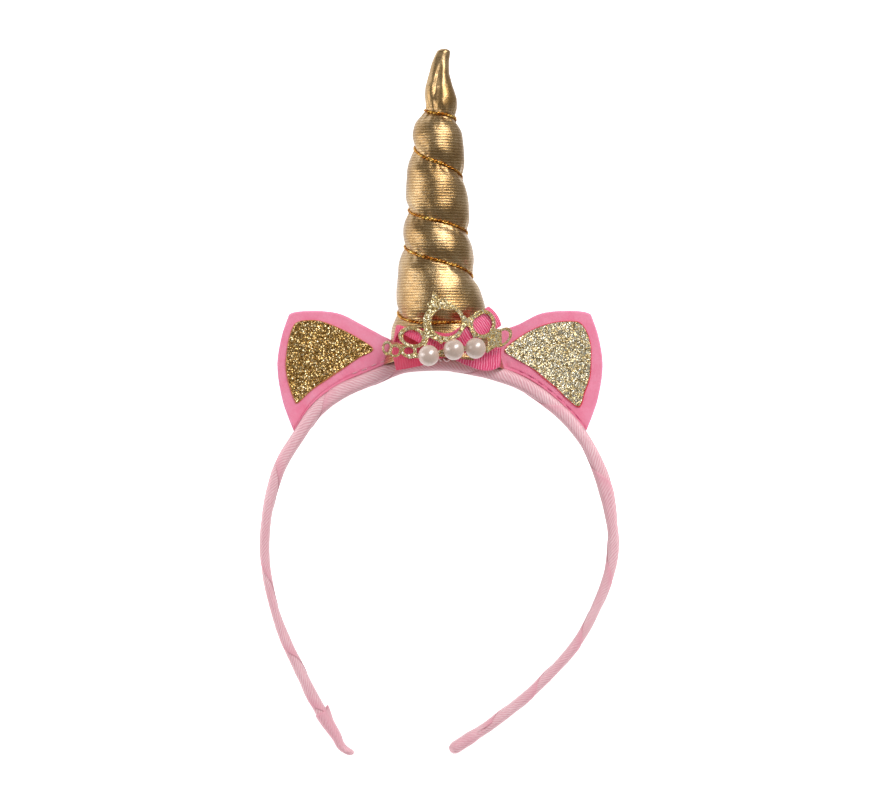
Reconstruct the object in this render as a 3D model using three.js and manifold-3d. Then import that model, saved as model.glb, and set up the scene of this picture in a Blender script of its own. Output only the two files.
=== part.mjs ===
// Unicorn horn headband, lying on its back: a slim band wound with ribbon, two felt ears with
// glitter inserts, a stuffed horn bound by a cord, a ribbon bow, a pierced tiara and three pearls.
// Millimetres. +Z comes out of the headband's front, +Y runs up the horn, +X is the viewer's right.
// Every shape is set out with the middle of the band's top at 0, 0, 0, and the whole is then
// leaned back until it rests on the horn's foot and the two tips.
import * as THREE from 'three';
import { mergeVertices } from 'three/addons/utils/BufferGeometryUtils.js';
import Module from 'manifold-3d';

const wasm = await Module();
wasm.setup();

// Driving dimensions
const GAP = 0.3; // clearance between two pieces that touch
const BAND_SPAN = 126; // across the legs, outside
const BAND_DROP = 137.5; // from the top of the band to its tips
const BAND_THICK = 5; // in the plane of the band, at the top
const BAND_DEEP = 8; // front to back
const EAR_WIDE = 38;
const EAR_TALL = 42;
const EAR_TUCK = 0.9; // how far an ear reaches in past the horn's foot, beside the slimmer horn
const FELT_THICK = 2.4;
const EAR_SWEEP = 4; // how far an ear's outer side is swept back
const INSERT_THICK = 0.8;
const HORN_TALL = 110.5; // from the band's middle line to the tip
const HORN_FOOT = 39.8; // across the foot
const HORN_FLAT = 0.86; // the foot's depth, as a share of its width
const GROOVE_DEPTH = 1.7;
const GROOVE_REACH = 3.2; // half height of the groove that the cord pulls in
const TIP_FOLD = 0.9; // depth of the fold down the front of the tip
const CORD = 1; // diameter
const RIBBON_WIDE = 8;
const RIBBON_THICK = 1;
const LOOP_PUFF = 1.7; // half the depth of a bow loop, middle of ribbon to middle of ribbon
const TIARA_THICK = 1;
const RING_RADIUS = 6.15;
const RING_UP = 14.8; // the tiara's ring, above the band's middle line
const RING_ASIDE = 2.1; // and to the right of the middle
const PEARL = 7.2; // diameter

// Colours
const PALE_PINK = 0xf2bfd0;
const FELT_PINK = 0xf48fb4;
const HOT_PINK = 0xe8457f;
const GLITTER_GOLD = 0xc2a457;
const HORN_GOLD = 0xb3924d;
const CORD_GOLD = 0xd08a2a;
const PEARL_WHITE = 0xe9e2da;

const table = (columns, rows) =>
  rows.map((row) => Object.fromEntries(columns.split(' ').map((name, i) => [name, row[i]])));

const mix = (a, b, share) => a + (b - a) * share;
const ease = (share) => {
  const s = Math.min(1, Math.max(0, share));
  return s * s * (3 - 2 * s);
};

// The value of a column at a place along a table, between its rows.
function between(rows, column, place) {
  const at = Math.min(rows.length - 1, Math.max(0, place));
  const low = Math.min(rows.length - 2, Math.floor(at));
  return mix(rows[low][column], rows[low + 1][column], at - low);
}

// The value of a column where another column, which rises from row to row, has a value.
function lookUp(rows, key, value, column) {
  const high = rows.findIndex((row) => row[key] >= value);
  if (high <= 0) return rows[high < 0 ? rows.length - 1 : 0][column];
  const low = rows[high - 1];
  return mix(low[column], rows[high][column], (value - low[key]) / (rows[high][key] - low[key]));
}

function welded(geometry) {
  geometry.deleteAttribute('normal');
  geometry.deleteAttribute('uv');
  return mergeVertices(geometry);
}

// A closed skin of rings, one for each level; the first and the last level are single points.
function skin(around, levels, place) {
  const geometry = new THREE.SphereGeometry(1, around, levels.length - 1);
  const position = geometry.attributes.position;
  for (let i = 0; i < position.count; i += 1) {
    const column = (i % (around + 1)) % around;
    const level = levels[Math.floor(i / (around + 1))];
    position.setXYZ(i, ...place((2 * Math.PI * column) / around, level, column));
  }
  return welded(geometry);
}

// Headband: its middle line from the left tip over the top to the right tip, as shares of half the
// span and of the drop, and its thickness there as a share of the thickness at the top.
const BAND_ROUTE = table('across drop thick', [
  [-0.506, 0.993, 0.5],
  [-0.647, 0.896, 0.86],
  [-0.753, 0.804, 0.8],
  [-0.847, 0.713, 0.76],
  [-0.922, 0.621, 0.64],
  [-0.964, 0.529, 0.68],
  [-0.972, 0.438, 0.7],
  [-0.947, 0.346, 0.8],
  [-0.889, 0.262, 0.92],
  [-0.8, 0.194, 0.92],
  [-0.689, 0.119, 1],
  [-0.548, 0.07, 1.08],
  [-0.393, 0.038, 1.08],
  [-0.222, 0.008, 1.04],
  [-0.056, 0, 1],
  [0.111, 0.004, 1],
  [0.293, 0.023, 1.04],
  [0.444, 0.047, 1.04],
  [0.581, 0.087, 1],
  [0.729, 0.15, 0.92],
  [0.842, 0.224, 0.94],
  [0.914, 0.31, 1.08],
  [0.956, 0.407, 0.82],
  [0.964, 0.461, 0.84],
  [0.942, 0.53, 0.8],
  [0.88, 0.606, 0.74],
  [0.8, 0.682, 0.7],
  [0.675, 0.758, 0.74],
  [0.506, 0.835, 0.76],
  [0.306, 0.909, 0.8],
  [0.061, 0.983, 0.8],
]);
const BAND_SIDES = 12;
const BAND_STEPS = 2; // rings from one row of the route to the next
const BAND_SQUARENESS = 3; // 2 is an ellipse, more is squarer
const TIP_ROUNDING = 0.004; // the share of the length over which a tip is rounded
const TIP_FLAT = 0.75; // the size of a tip's flat end, as a share of the section there
const bandCurve = new THREE.SplineCurve(
  BAND_ROUTE.map((row) => new THREE.Vector2((row.across * BAND_SPAN) / 2, -row.drop * BAND_DROP)),
);

// The band at a share of its length: the middle line, the way out of the loop and the thickness.
function bandAt(share) {
  const middle = bandCurve.getPoint(share);
  const tangent = bandCurve.getTangent(share);
  const thick = BAND_THICK * between(BAND_ROUTE, 'thick', share * (BAND_ROUTE.length - 1));
  return { middle, out: new THREE.Vector2(-tangent.y, tangent.x), thick };
}

// The seat on the band's outer face, from where one ear stands to where the other does.
const SEAT_FROM = 0.28; // shares of the band's length
const SEAT_TO = 0.67;
const SEAT_SPOTS = 80;
const SEAT = Array.from({ length: SEAT_SPOTS + 1 }, (_, i) => {
  const { middle, out, thick } = bandAt(mix(SEAT_FROM, SEAT_TO, i / SEAT_SPOTS));
  const spot = middle.addScaledVector(out, thick / 2 + GAP);
  return { across: spot.x, up: spot.y };
});
const seatHeight = (x) => lookUp(SEAT, 'across', x, 'up');

const squared = (wave) => Math.sign(wave) * Math.abs(wave) ** (2 / BAND_SQUARENESS);

function headband() {
  const rings = (BAND_ROUTE.length - 1) * BAND_STEPS;
  const levels = [
    { share: 0, size: 0 },
    { share: 0, size: TIP_FLAT },
  ];
  for (let i = 0; i <= rings; i += 1) {
    levels.push({ share: mix(TIP_ROUNDING, 1 - TIP_ROUNDING, i / rings), size: 1 });
  }
  levels.push({ share: 1, size: TIP_FLAT }, { share: 1, size: 0 });
  return skin(BAND_SIDES, levels, (turn, { share, size }) => {
    const { middle, out, thick } = bandAt(share);
    const angle = turn + Math.PI / BAND_SIDES; // puts a flat, not an edge, on the inner face
    const side = (squared(Math.sin(angle)) * size * thick) / 2;
    const depth = (squared(Math.cos(angle)) * size * BAND_DEEP) / 2;
    return [middle.x + out.x * side, middle.y + out.y * side, depth];
  });
}

// Ears: the outline from the foot's inner end over the top to its outer end, as shares of the
// ear's width, outwards, and of its height, upwards from the foot's outer end.
const EAR_EDGE = table('out up', [
  [0.05, 0.64],
  [0.015, 0.737],
  [0.07, 0.791],
  [0.228, 0.89],
  [0.403, 0.971],
  [0.55, 0.997],
  [0.697, 1.002],
  [0.82, 0.995],
  [0.885, 0.976],
  [0.908, 0.936],
  [0.96, 0.795],
  [0.998, 0.61],
  [0.995, 0.455],
  [0.955, 0.26],
  [0.905, 0.124],
  [0.85, 0],
]);
const INSERT_LEFT = table('out up', [
  [0.121, 0.681],
  [0.291, 0.788],
  [0.449, 0.859],
  [0.592, 0.908],
  [0.7, 0.918],
  [0.81, 0.903],
  [0.86, 0.845],
  [0.9, 0.708],
  [0.914, 0.543],
  [0.886, 0.4],
  [0.835, 0.27],
  [0.8, 0.247],
  [0.671, 0.357],
  [0.529, 0.451],
  [0.37, 0.54],
  [0.252, 0.609],
]);
const INSERT_RIGHT = table('out up', [
  [0.103, 0.679],
  [0.271, 0.798],
  [0.42, 0.864],
  [0.57, 0.901],
  [0.713, 0.909],
  [0.785, 0.896],
  [0.844, 0.83],
  [0.885, 0.708],
  [0.885, 0.552],
  [0.868, 0.435],
  [0.826, 0.328],
  [0.778, 0.211],
  [0.67, 0.274],
  [0.57, 0.368],
  [0.46, 0.45],
  [0.36, 0.52],
  [0.182, 0.61],
]);
const EARS = table('name side insert', [
  ['left', -1, INSERT_LEFT],
  ['right', 1, INSERT_RIGHT],
]);
const EAR_INSIDE = HORN_FOOT / 2 - EAR_TUCK;
const EAR_FOOT_POINTS = 9;
const EAR_LIFT = 1.4; // the inner corner's middle, in front of the band's middle
const SWEEP_BEND = 1.5; // 1 sweeps an ear back evenly, more bends it towards its outer side
const PLATE_RING = 0.55; // the size of the ring inside a plate's edge

const earAcross = (ear, out) => ear.side * (EAR_INSIDE + out * EAR_WIDE);

function earPoint(ear, row) {
  const foot = seatHeight(earAcross(ear, EAR_EDGE.at(-1).out));
  return new THREE.Vector2(earAcross(ear, row.out), foot + row.up * EAR_TALL);
}

// The depth of an ear's middle, which falls away towards its outer side.
function earDepth(x) {
  const out = Math.max(0, (Math.abs(x) - EAR_INSIDE) / EAR_WIDE);
  return EAR_LIFT - EAR_SWEEP * out ** SWEEP_BEND;
}

// A thin plate between two depths over the ears' curved middle, from an outline in the plane.
function earPlate(outline, back, front) {
  const points = THREE.ShapeUtils.isClockWise(outline) ? [...outline].reverse() : outline;
  const centre = points.reduce((sum, p) => sum.add(p), new THREE.Vector2());
  centre.divideScalar(points.length);
  const levels = [
    [0, front],
    [PLATE_RING, front],
    [1, front],
    [1, back],
    [PLATE_RING, back],
    [0, back],
  ];
  return skin(points.length, levels, (angle, [size, depth], column) => {
    const x = mix(centre.x, points[column].x, size);
    const y = mix(centre.y, points[column].y, size);
    return [x, y, earDepth(x) + depth];
  });
}

function earFelt(ear) {
  const outline = EAR_EDGE.map((row) => earPoint(ear, row));
  for (let i = 1; i <= EAR_FOOT_POINTS; i += 1) {
    const out = mix(EAR_EDGE.at(-1).out, EAR_EDGE[0].out, i / EAR_FOOT_POINTS);
    const x = earAcross(ear, out);
    outline.push(new THREE.Vector2(x, seatHeight(x)));
  }
  return earPlate(outline, -FELT_THICK / 2, FELT_THICK / 2);
}

function earInsert(ear) {
  const outline = ear.insert.map((row) => earPoint(ear, row));
  const back = FELT_THICK / 2 + GAP;
  return earPlate(outline, back, back + INSERT_THICK);
}

// Horn: half its width and the sideways place of its middle at heights from foot to tip, as
// shares of half the foot's width and of the horn's height.
const HORN_FORM = table('height half lean', [
  [0, 1, -0.01],
  [0.03, 0.965, -0.01],
  [0.076, 0.91, -0.02],
  [0.15, 0.85, 0],
  [0.2, 0.79, 0],
  [0.272, 0.715, -0.05],
  [0.31, 0.69, -0.06],
  [0.386, 0.64, -0.06],
  [0.462, 0.595, -0.05],
  [0.538, 0.565, -0.06],
  [0.614, 0.53, -0.065],
  [0.69, 0.485, -0.05],
  [0.728, 0.46, -0.05],
  [0.766, 0.415, -0.045],
  [0.804, 0.345, 0],
  [0.842, 0.3, 0.01],
  [0.88, 0.255, -0.02],
  [0.918, 0.185, -0.015],
  [0.956, 0.15, 0.01],
  [0.985, 0.125, 0.05],
  [1, 0.1, 0.07],
]);
// The cord's height at each half turn, right side and left side in turn, from the top down.
const CORD_HALF_TURNS = table('height', [
  [0.812],
  [0.804],
  [0.778],
  [0.684],
  [0.59],
  [0.487],
  [0.415],
  [0.373],
  [0.279],
  [0.163],
  [0.139],
  [0.1],
]);
const CORD_START = 0.5; // in half turns, at the back above the first crossing
const CORD_END = 10.5; // at the back below the last one
const CORD_SWING = 0.5; // 0 climbs evenly round the horn, 1 climbs all at the front and the back
const HORN_SIDES = 28;
const HORN_RINGS = 58;
const FOOT_RINGS = [0, 0.3, 0.65]; // under the foot, as shares of its radius
const HORN_SHOULDER = 0.99; // the share of the height where the tip's rounding starts
const TIP_ROUND = { height: 0.998, size: 0.7 };
const FOOT_BLEND = 0.15; // the share of the height over which the arched foot levels out
const ROUND_FROM = 0.3; // the share of the height above which the horn is as deep as wide
const SLIMMEST = 0.4; // a groove or fold leaves at least this share of the radius
const TIP_CREASE = { angle: Math.PI * 0.56, halfAngle: 0.35, height: 0.875, halfHeight: 0.06 };

// The height share of the cord at a number of half turns.
function cordHeight(halfTurns) {
  const row = Math.floor(halfTurns);
  const along = halfTurns - row;
  const swing = (1 - Math.cos(Math.PI * along)) / 2;
  return between(CORD_HALF_TURNS, 'height', row + mix(along, swing, CORD_SWING));
}

// How far the cord pulls the horn in at an angle (0 is right, a quarter turn is front) and height.
function groove(angle, height) {
  let pull = 0;
  for (let halfTurns = -angle / Math.PI; halfTurns <= CORD_END; halfTurns += 2) {
    if (halfTurns >= CORD_START) {
      const off = ((height - cordHeight(halfTurns)) * HORN_TALL) / GROOVE_REACH;
      pull = Math.max(pull, Math.exp(-off * off));
    }
  }
  return GROOVE_DEPTH * pull;
}

// How far the fold down the front of the tip goes in.
function tipFold(angle, height) {
  const sideways = (angle - TIP_CREASE.angle) / TIP_CREASE.halfAngle;
  const along = (height - TIP_CREASE.height) / TIP_CREASE.halfHeight;
  return TIP_FOLD * Math.exp(-sideways * sideways - along * along);
}

// A point of the horn's surface, or a distance outside it.
function hornPoint(angle, height, size = 1, outside = 0) {
  const half = (HORN_FOOT / 2) * lookUp(HORN_FORM, 'height', height, 'half');
  const lean = (HORN_FOOT / 2) * lookUp(HORN_FORM, 'height', height, 'lean');
  const inward = groove(angle, height) + tipFold(angle, height);
  const radius = Math.max(half - inward, half * SLIMMEST) * size + outside;
  const deep = mix(HORN_FLAT, 1, ease(height / ROUND_FROM));
  const x = lean + radius * Math.cos(angle);
  const foot = seatHeight(x) * (1 - ease(height / FOOT_BLEND));
  return [x, foot + height * HORN_TALL, radius * deep * Math.sin(angle)];
}

function horn() {
  const levels = FOOT_RINGS.map((size) => ({ height: 0, size }));
  for (let i = 0; i <= HORN_RINGS; i += 1) {
    levels.push({ height: (HORN_SHOULDER * i) / HORN_RINGS, size: 1 });
  }
  levels.push(TIP_ROUND, { height: 1, size: 0 });
  return skin(HORN_SIDES, levels, (angle, { height, size }) => hornPoint(angle, height, size));
}

const CORD_SIDES = 6;
const CORD_STEPS = 11; // from one half turn to the next

function hornCord() {
  const points = [];
  const count = Math.round((CORD_END - CORD_START) * CORD_STEPS);
  for (let i = 0; i <= count; i += 1) {
    const halfTurns = mix(CORD_START, CORD_END, i / count);
    const angle = ((((2 - halfTurns) % 2) + 2) % 2) * Math.PI;
    const outside = CORD / 2 + GAP;
    points.push(new THREE.Vector3(...hornPoint(angle, cordHeight(halfTurns), 1, outside)));
  }
  const section = new THREE.Shape();
  for (let i = 0; i < CORD_SIDES; i += 1) {
    const angle = (2 * Math.PI * i) / CORD_SIDES;
    const [x, y] = [(Math.cos(angle) * CORD) / 2, (Math.sin(angle) * CORD) / 2];
    if (i === 0) section.moveTo(x, y);
    else section.lineTo(x, y);
  }
  const extrudePath = new THREE.CatmullRomCurve3(points);
  return welded(new THREE.ExtrudeGeometry(section, { steps: count, extrudePath }));
}

// The curved ground that the bow and the tiara lie on, in front of the horn's foot.
const GROUND_TOP = (HORN_FOOT / 2) * HORN_FLAT + 2 * GAP;
const GROUND_LEAN = 0.13; // falls this much for each millimetre up the horn
const GROUND_CURVE = 0.36 / (HORN_FOOT / 2); // falls by this times the distance across, squared
const ground = (x, y) => GROUND_TOP - GROUND_LEAN * y - GROUND_CURVE * x * x;

// Bow: the middle lines of its two ribbons, as shares of half the horn's foot, and how wide each
// ribbon is there, as a share of its width.
const BOW_LOOPS = table('across up wide', [
  [-0.78, 0.53, 0.8],
  [-0.36, 0.43, 0.9],
  [0.1, 0.32, 0.6],
  [0.53, 0.54, 0.95],
  [0.95, 0.83, 1.05],
]);
const BOW_TAILS = table('across up wide', [
  [-0.83, 0.08, 1],
  [-0.4, 0.13, 0.9],
  [0.1, 0.21, 0.65],
  [0.55, 0.14, 0.9],
  [1.06, 0.11, 0.98],
]);
const LOOP_STEPS = 36;
const TAIL_STEPS = 16;
const PINCH_REACH = 0.5; // the share of a loop's length over which it opens from the pinch
const LOOP_BLUNTNESS = 0.6; // 1 is a round section, less is blunter at the ends

function ribbonAt(rows, share) {
  const route = new THREE.SplineCurve(
    rows.map((row) => new THREE.Vector2(row.across, row.up).multiplyScalar(HORN_FOOT / 2)),
  );
  const tangent = route.getTangent(share);
  return {
    middle: route.getPoint(share),
    upward: new THREE.Vector2(-tangent.y, tangent.x),
    wide: RIBBON_WIDE * between(rows, 'wide', share * (rows.length - 1)),
  };
}

function bowTails() {
  const geometry = new THREE.BoxGeometry(1, 1, 1, TAIL_STEPS, 2, 1);
  const position = geometry.attributes.position;
  for (let i = 0; i < position.count; i += 1) {
    const { middle, upward, wide } = ribbonAt(BOW_TAILS, position.getX(i) + 0.5);
    const spot = middle.addScaledVector(upward, position.getY(i) * wide);
    const depth = ground(spot.x, spot.y) + (position.getZ(i) + 0.5) * RIBBON_THICK;
    position.setXYZ(i, spot.x, spot.y, depth);
  }
  return welded(geometry);
}

const LOOP_BACK = RIBBON_THICK + GAP; // the loops lie on the tails

// The bow's loops are one closed ribbon, flattened and pinched where the two loops meet.
function bowLoops() {
  const geometry = new THREE.TorusGeometry(2, 1, 4, LOOP_STEPS);
  const position = geometry.attributes.position;
  const pinch = RIBBON_THICK / 2 + GAP / 2;
  for (let i = 0; i < position.count; i += 1) {
    const turn = (2 * Math.PI * (i % (LOOP_STEPS + 1))) / LOOP_STEPS;
    const corner = (Math.PI / 2) * (Math.floor(i / (LOOP_STEPS + 1)) % 4) + Math.PI / 4;
    const along = Math.cos(turn);
    const outward = Math.sign(Math.cos(corner)) * (RIBBON_THICK / 2);
    const half = mix(pinch, LOOP_PUFF, ease(Math.abs(along) / PINCH_REACH));
    const reach = 0.5 + (along * (1 - (RIBBON_THICK / 2 - outward) / HORN_FOOT)) / 2;
    const { middle, upward, wide } = ribbonAt(BOW_LOOPS, reach);
    const spot = middle.addScaledVector(upward, (-Math.sign(Math.sin(corner)) * wide) / 2);
    const bulge = Math.sign(Math.sin(turn)) * Math.abs(Math.sin(turn)) ** LOOP_BLUNTNESS;
    const depth = LOOP_BACK + RIBBON_THICK / 2 + half * (1 + bulge) + bulge * outward;
    position.setXYZ(i, spot.x, spot.y, ground(spot.x, spot.y) + depth);
  }
  return welded(geometry);
}

// Tiara: closed loops and straight limbs of one pierced sheet, placed as shares of the ring's
// radius from the ring's middle; turn is in degrees.
const TIARA_LOOPS = table('across up wide tall turn limb', [
  [0, 0, 1, 1, 0, 0.36],
  [-1.88, -0.89, 0.74, 0.52, -15, 0.2],
  [2.03, -0.2, 0.6, 0.7, -20, 0.22],
  [-3.33, -1.45, 0.3, 0.3, 0, 0.16],
  [-2.84, -1.72, 0.33, 0.36, 10, 0.17],
  [-2.13, -1.72, 0.4, 0.3, 0, 0.17],
  [3.1, -1.0, 0.6, 0.34, 35, 0.18],
  [2.62, -0.75, 0.26, 0.3, 0, 0.24],
]);
const TIARA_LIMBS = table('fromAcross fromUp toAcross toUp limb', [
  [-0.95, -0.45, -0.95, -1.15, 0.24],
  [-0.95, -0.7, -0.2, -1.3, 0.22],
  [0.95, -0.35, 0.35, -1.25, 0.22],
  [0.9, -0.1, 1.5, 0.1, 0.26],
  [1.25, -0.1, 1.65, -1.2, 0.2],
  [-1.85, -1.9, -0.6, -1.9, 0.3],
  [-0.7, -1.9, 0.6, -1.55, 0.3],
  [0.5, -1.55, 2.35, -1.6, 0.3],
  [2.2, -1.65, 2.7, -0.95, 0.2],
]);
const CROWN = table('across up', [
  [-0.72, 0.62],
  [-1.05, 0.92],
  [-0.82, 0.95],
  [-0.7, 1.6],
  [-0.42, 1.12],
  [-0.22, 1.42],
  [-0.08, 1.08],
  [0.15, 1.35],
  [0.25, 0.92],
  [-0.2, 0.85],
]);
const TIARA_BACK = LOOP_BACK + 2 * LOOP_PUFF + RIBBON_THICK + GAP;
const LIMB_STEPS = 3;
const RING_STEPS = 20;
const SMALL_LOOP_STEPS = 12;

const tiaraSpot = (across, up) =>
  new THREE.Vector2(RING_ASIDE + across * RING_RADIUS, RING_UP + up * RING_RADIUS);

const onGround = (spot, lift) => [
  spot.x,
  spot.y,
  ground(spot.x, spot.y) + TIARA_BACK + lift * TIARA_THICK,
];

function tiaraLoop({ across, up, wide, tall, turn, limb }) {
  const steps = wide < 1 ? SMALL_LOOP_STEPS : RING_STEPS;
  const geometry = new THREE.TorusGeometry(2, 1, 4, steps);
  const position = geometry.attributes.position;
  const centre = tiaraSpot(across, up);
  for (let i = 0; i < position.count; i += 1) {
    const along = (2 * Math.PI * (i % (steps + 1))) / steps;
    const corner = (Math.PI / 2) * (Math.floor(i / (steps + 1)) % 4) + Math.PI / 4;
    const outward = (Math.sign(Math.cos(corner)) * limb) / 2;
    const spot = new THREE.Vector2(
      Math.cos(along) * (wide + outward),
      Math.sin(along) * (tall + outward),
    );
    spot.multiplyScalar(RING_RADIUS);
    spot.rotateAround(new THREE.Vector2(), THREE.MathUtils.degToRad(turn));
    position.setXYZ(i, ...onGround(spot.add(centre), Math.sin(corner) > 0 ? 1 : 0));
  }
  return welded(geometry);
}

function tiaraLimb({ fromAcross, fromUp, toAcross, toUp, limb }) {
  const geometry = new THREE.BoxGeometry(1, 1, 1, LIMB_STEPS, 1, 1);
  const position = geometry.attributes.position;
  const [from, to] = [tiaraSpot(fromAcross, fromUp), tiaraSpot(toAcross, toUp)];
  const aside = new THREE.Vector2(from.y - to.y, to.x - from.x).normalize();
  for (let i = 0; i < position.count; i += 1) {
    const spot = from.clone().lerp(to, position.getX(i) + 0.5);
    spot.addScaledVector(aside, position.getY(i) * limb * RING_RADIUS);
    position.setXYZ(i, ...onGround(spot, position.getZ(i) + 0.5));
  }
  return welded(geometry);
}

function tiaraCrown() {
  const outline = new THREE.Shape(CROWN.map((row) => tiaraSpot(row.across, row.up)));
  const geometry = new THREE.ExtrudeGeometry(outline, { depth: 1, bevelEnabled: false });
  const position = geometry.attributes.position;
  for (let i = 0; i < position.count; i += 1) {
    const spot = new THREE.Vector2(position.getX(i), position.getY(i));
    position.setXYZ(i, ...onGround(spot, position.getZ(i)));
  }
  return welded(geometry);
}

function solid(geometry) {
  const vertProperties = new Float32Array(geometry.attributes.position.array);
  const triVerts = new Uint32Array(geometry.index.array);
  return new wasm.Manifold(new wasm.Mesh({ numProp: 3, vertProperties, triVerts }));
}

function tiara() {
  const pieces = [...TIARA_LOOPS.map(tiaraLoop), ...TIARA_LIMBS.map(tiaraLimb), tiaraCrown()];
  const joined = pieces.map(solid).reduce((whole, piece) => whole.add(piece));
  const { vertProperties, triVerts } = joined.getMesh();
  const geometry = new THREE.BufferGeometry();
  geometry.setAttribute('position', new THREE.BufferAttribute(vertProperties, 3));
  geometry.setIndex(new THREE.BufferAttribute(triVerts, 1));
  return geometry;
}

// Pearls: they sit on the tiara's lowest limbs, at places in pearls from the middle one.
const PEARLS = table('name across up', [
  ['pearl_left', -1.2, -0.28],
  ['pearl_middle', 0, 0],
  ['pearl_right', 1.04, 0.07],
]);
const MIDDLE_PEARL = { across: 0.43, up: -1.64 }; // in ring radii from the ring's middle
const PEARL_SIDES = 14;
const PEARL_ROWS = 10;

function pearl({ across, up }) {
  const geometry = new THREE.SphereGeometry(PEARL / 2, PEARL_SIDES, PEARL_ROWS);
  const { x, y } = tiaraSpot(MIDDLE_PEARL.across, MIDDLE_PEARL.up).add(
    new THREE.Vector2(across, up).multiplyScalar(PEARL),
  );
  const onTiara = TIARA_BACK + TIARA_THICK + GAP + PEARL / 2;
  return welded(geometry.translate(x, y, ground(x, y) + onTiara));
}

// Assembly
const headpiece = new THREE.Group();

function add(name, geometry, color, roughness, metalness) {
  const mesh = new THREE.Mesh(geometry, new THREE.MeshStandardMaterial({ color, roughness, metalness }));
  mesh.name = name;
  headpiece.add(mesh);
  return mesh;
}

const bandMesh = add('headband', headband(), PALE_PINK, 0.55, 0);
for (const ear of EARS) {
  add(`${ear.name}_ear_felt`, earFelt(ear), FELT_PINK, 0.95, 0);
  add(`${ear.name}_ear_glitter`, earInsert(ear), GLITTER_GOLD, 0.5, 0.8);
}
const hornMesh = add('horn', horn(), HORN_GOLD, 0.35, 0.9);
add('horn_cord', hornCord(), CORD_GOLD, 0.3, 0.9);
add('bow_tails', bowTails(), HOT_PINK, 0.6, 0);
add('bow_loops', bowLoops(), HOT_PINK, 0.6, 0);
add('tiara', tiara(), GLITTER_GOLD, 0.5, 0.8);
for (const row of PEARLS) add(row.name, pearl(row), PEARL_WHITE, 0.2, 0);

// Rest: the lean at which the horn's foot and the band's tips are equally low.
const STEEPEST_LEAN = Math.PI / 6;
const LEAN_HALVINGS = 40;

function lowest(mesh, lean) {
  const position = mesh.geometry.attributes.position;
  let low = Infinity;
  for (let i = 0; i < position.count; i += 1) {
    low = Math.min(low, position.getY(i) * Math.sin(lean) + position.getZ(i) * Math.cos(lean));
  }
  return low;
}

function restLean() {
  let [low, high] = [0, STEEPEST_LEAN];
  for (let i = 0; i < LEAN_HALVINGS; i += 1) {
    const lean = (low + high) / 2;
    if (lowest(bandMesh, lean) > lowest(hornMesh, lean)) low = lean;
    else high = lean;
  }
  return low;
}

headpiece.rotation.x = restLean();
headpiece.updateMatrixWorld(true);
const box = new THREE.Box3().setFromObject(headpiece, true);
headpiece.position.set(-(box.min.x + box.max.x) / 2, -(box.min.y + box.max.y) / 2, -box.min.z);

export default headpiece;
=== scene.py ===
import math
import random

import bmesh
import bpy
import numpy as np
from mathutils import Matrix, Vector, geometry, noise


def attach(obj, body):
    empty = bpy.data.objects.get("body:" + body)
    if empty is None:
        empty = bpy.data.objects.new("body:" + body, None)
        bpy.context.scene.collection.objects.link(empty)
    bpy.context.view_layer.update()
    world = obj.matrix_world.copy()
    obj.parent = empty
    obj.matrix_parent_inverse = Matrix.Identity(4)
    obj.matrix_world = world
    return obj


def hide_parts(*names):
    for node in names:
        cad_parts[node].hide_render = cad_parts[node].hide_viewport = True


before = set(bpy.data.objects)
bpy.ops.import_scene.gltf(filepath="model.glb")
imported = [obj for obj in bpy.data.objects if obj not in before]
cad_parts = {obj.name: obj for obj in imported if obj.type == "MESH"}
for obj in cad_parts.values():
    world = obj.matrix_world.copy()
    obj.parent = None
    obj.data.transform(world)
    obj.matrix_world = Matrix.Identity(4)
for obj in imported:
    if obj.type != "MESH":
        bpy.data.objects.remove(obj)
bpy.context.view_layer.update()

MM = 0.001
LEAN = math.radians(5.4395)
SHIFT = np.array((0.082, 13.278, 16.770))

# The same sizes as the solids have
GAP = 0.3
BAND_SPAN = 126
BAND_DROP = 137.5
BAND_THICK = 5
BAND_DEEP = 8
EAR_WIDE = 38
EAR_TALL = 42
EAR_TUCK = 0.9
FELT_THICK = 2.4
EAR_SWEEP = 4
EAR_LIFT = 1.4
SWEEP_BEND = 1.5
HORN_TALL = 110.5
HORN_FOOT = 39.8
HORN_FLAT = 0.86
GROOVE_DEPTH = 1.7
GROOVE_REACH = 3.2
TIP_FOLD = 1.3
RIBBON_WIDE = 8
RIBBON_THICK = 1
LOOP_PUFF = 1.7
TIARA_THICK = 1
RING_RADIUS = 6.15
RING_UP = 14.8
RING_ASIDE = 2.1
PEARL = 7.2


def placed(points):
    """Points of the band's plane, in millimetres, as metres in the row frame."""
    turn = np.array(Matrix.Rotation(LEAN, 3, "X"))
    return (np.asarray(points, float).reshape(-1, 3) @ turn.T + SHIFT) * MM


def spline(points, shares):
    """Points at shares of a smooth line through evenly counted points."""
    points = np.asarray(points, float)
    last = len(points) - 1
    place = np.clip(np.asarray(shares, float), 0, 1) * last
    start = np.minimum(place.astype(int), last - 1)
    t = (place - start)[..., None]
    before, a = points[np.maximum(start - 1, 0)], points[start]
    b, after = points[start + 1], points[np.minimum(start + 2, last)]
    va, vb = (b - before) / 2, (after - a) / 2
    return (2 * a - 2 * b + va + vb) * t**3 + (3 * b - 3 * a - 2 * va - vb) * t**2 + va * t + a


def ease(share):
    s = np.clip(share, 0, 1)
    return s * s * (3 - 2 * s)


def mix(a, b, share):
    return a + (b - a) * share


def ripple(points, size, seed):
    """A smooth random value from -1 to 1 at each point, which changes over about that size."""
    flat = np.asarray(points, float).reshape(-1, 3) / size + seed * 17.3
    values = np.array([noise.noise(Vector(p)) for p in flat])
    return values.reshape(np.asarray(points).shape[:-1])


def bell(value, middle, wide):
    """A smooth bump, 1 high at its middle."""
    return np.exp(-(((value - middle) / wide) ** 2))


def unit(vectors):
    return vectors / np.linalg.norm(vectors, axis=-1)[..., None]


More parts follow.
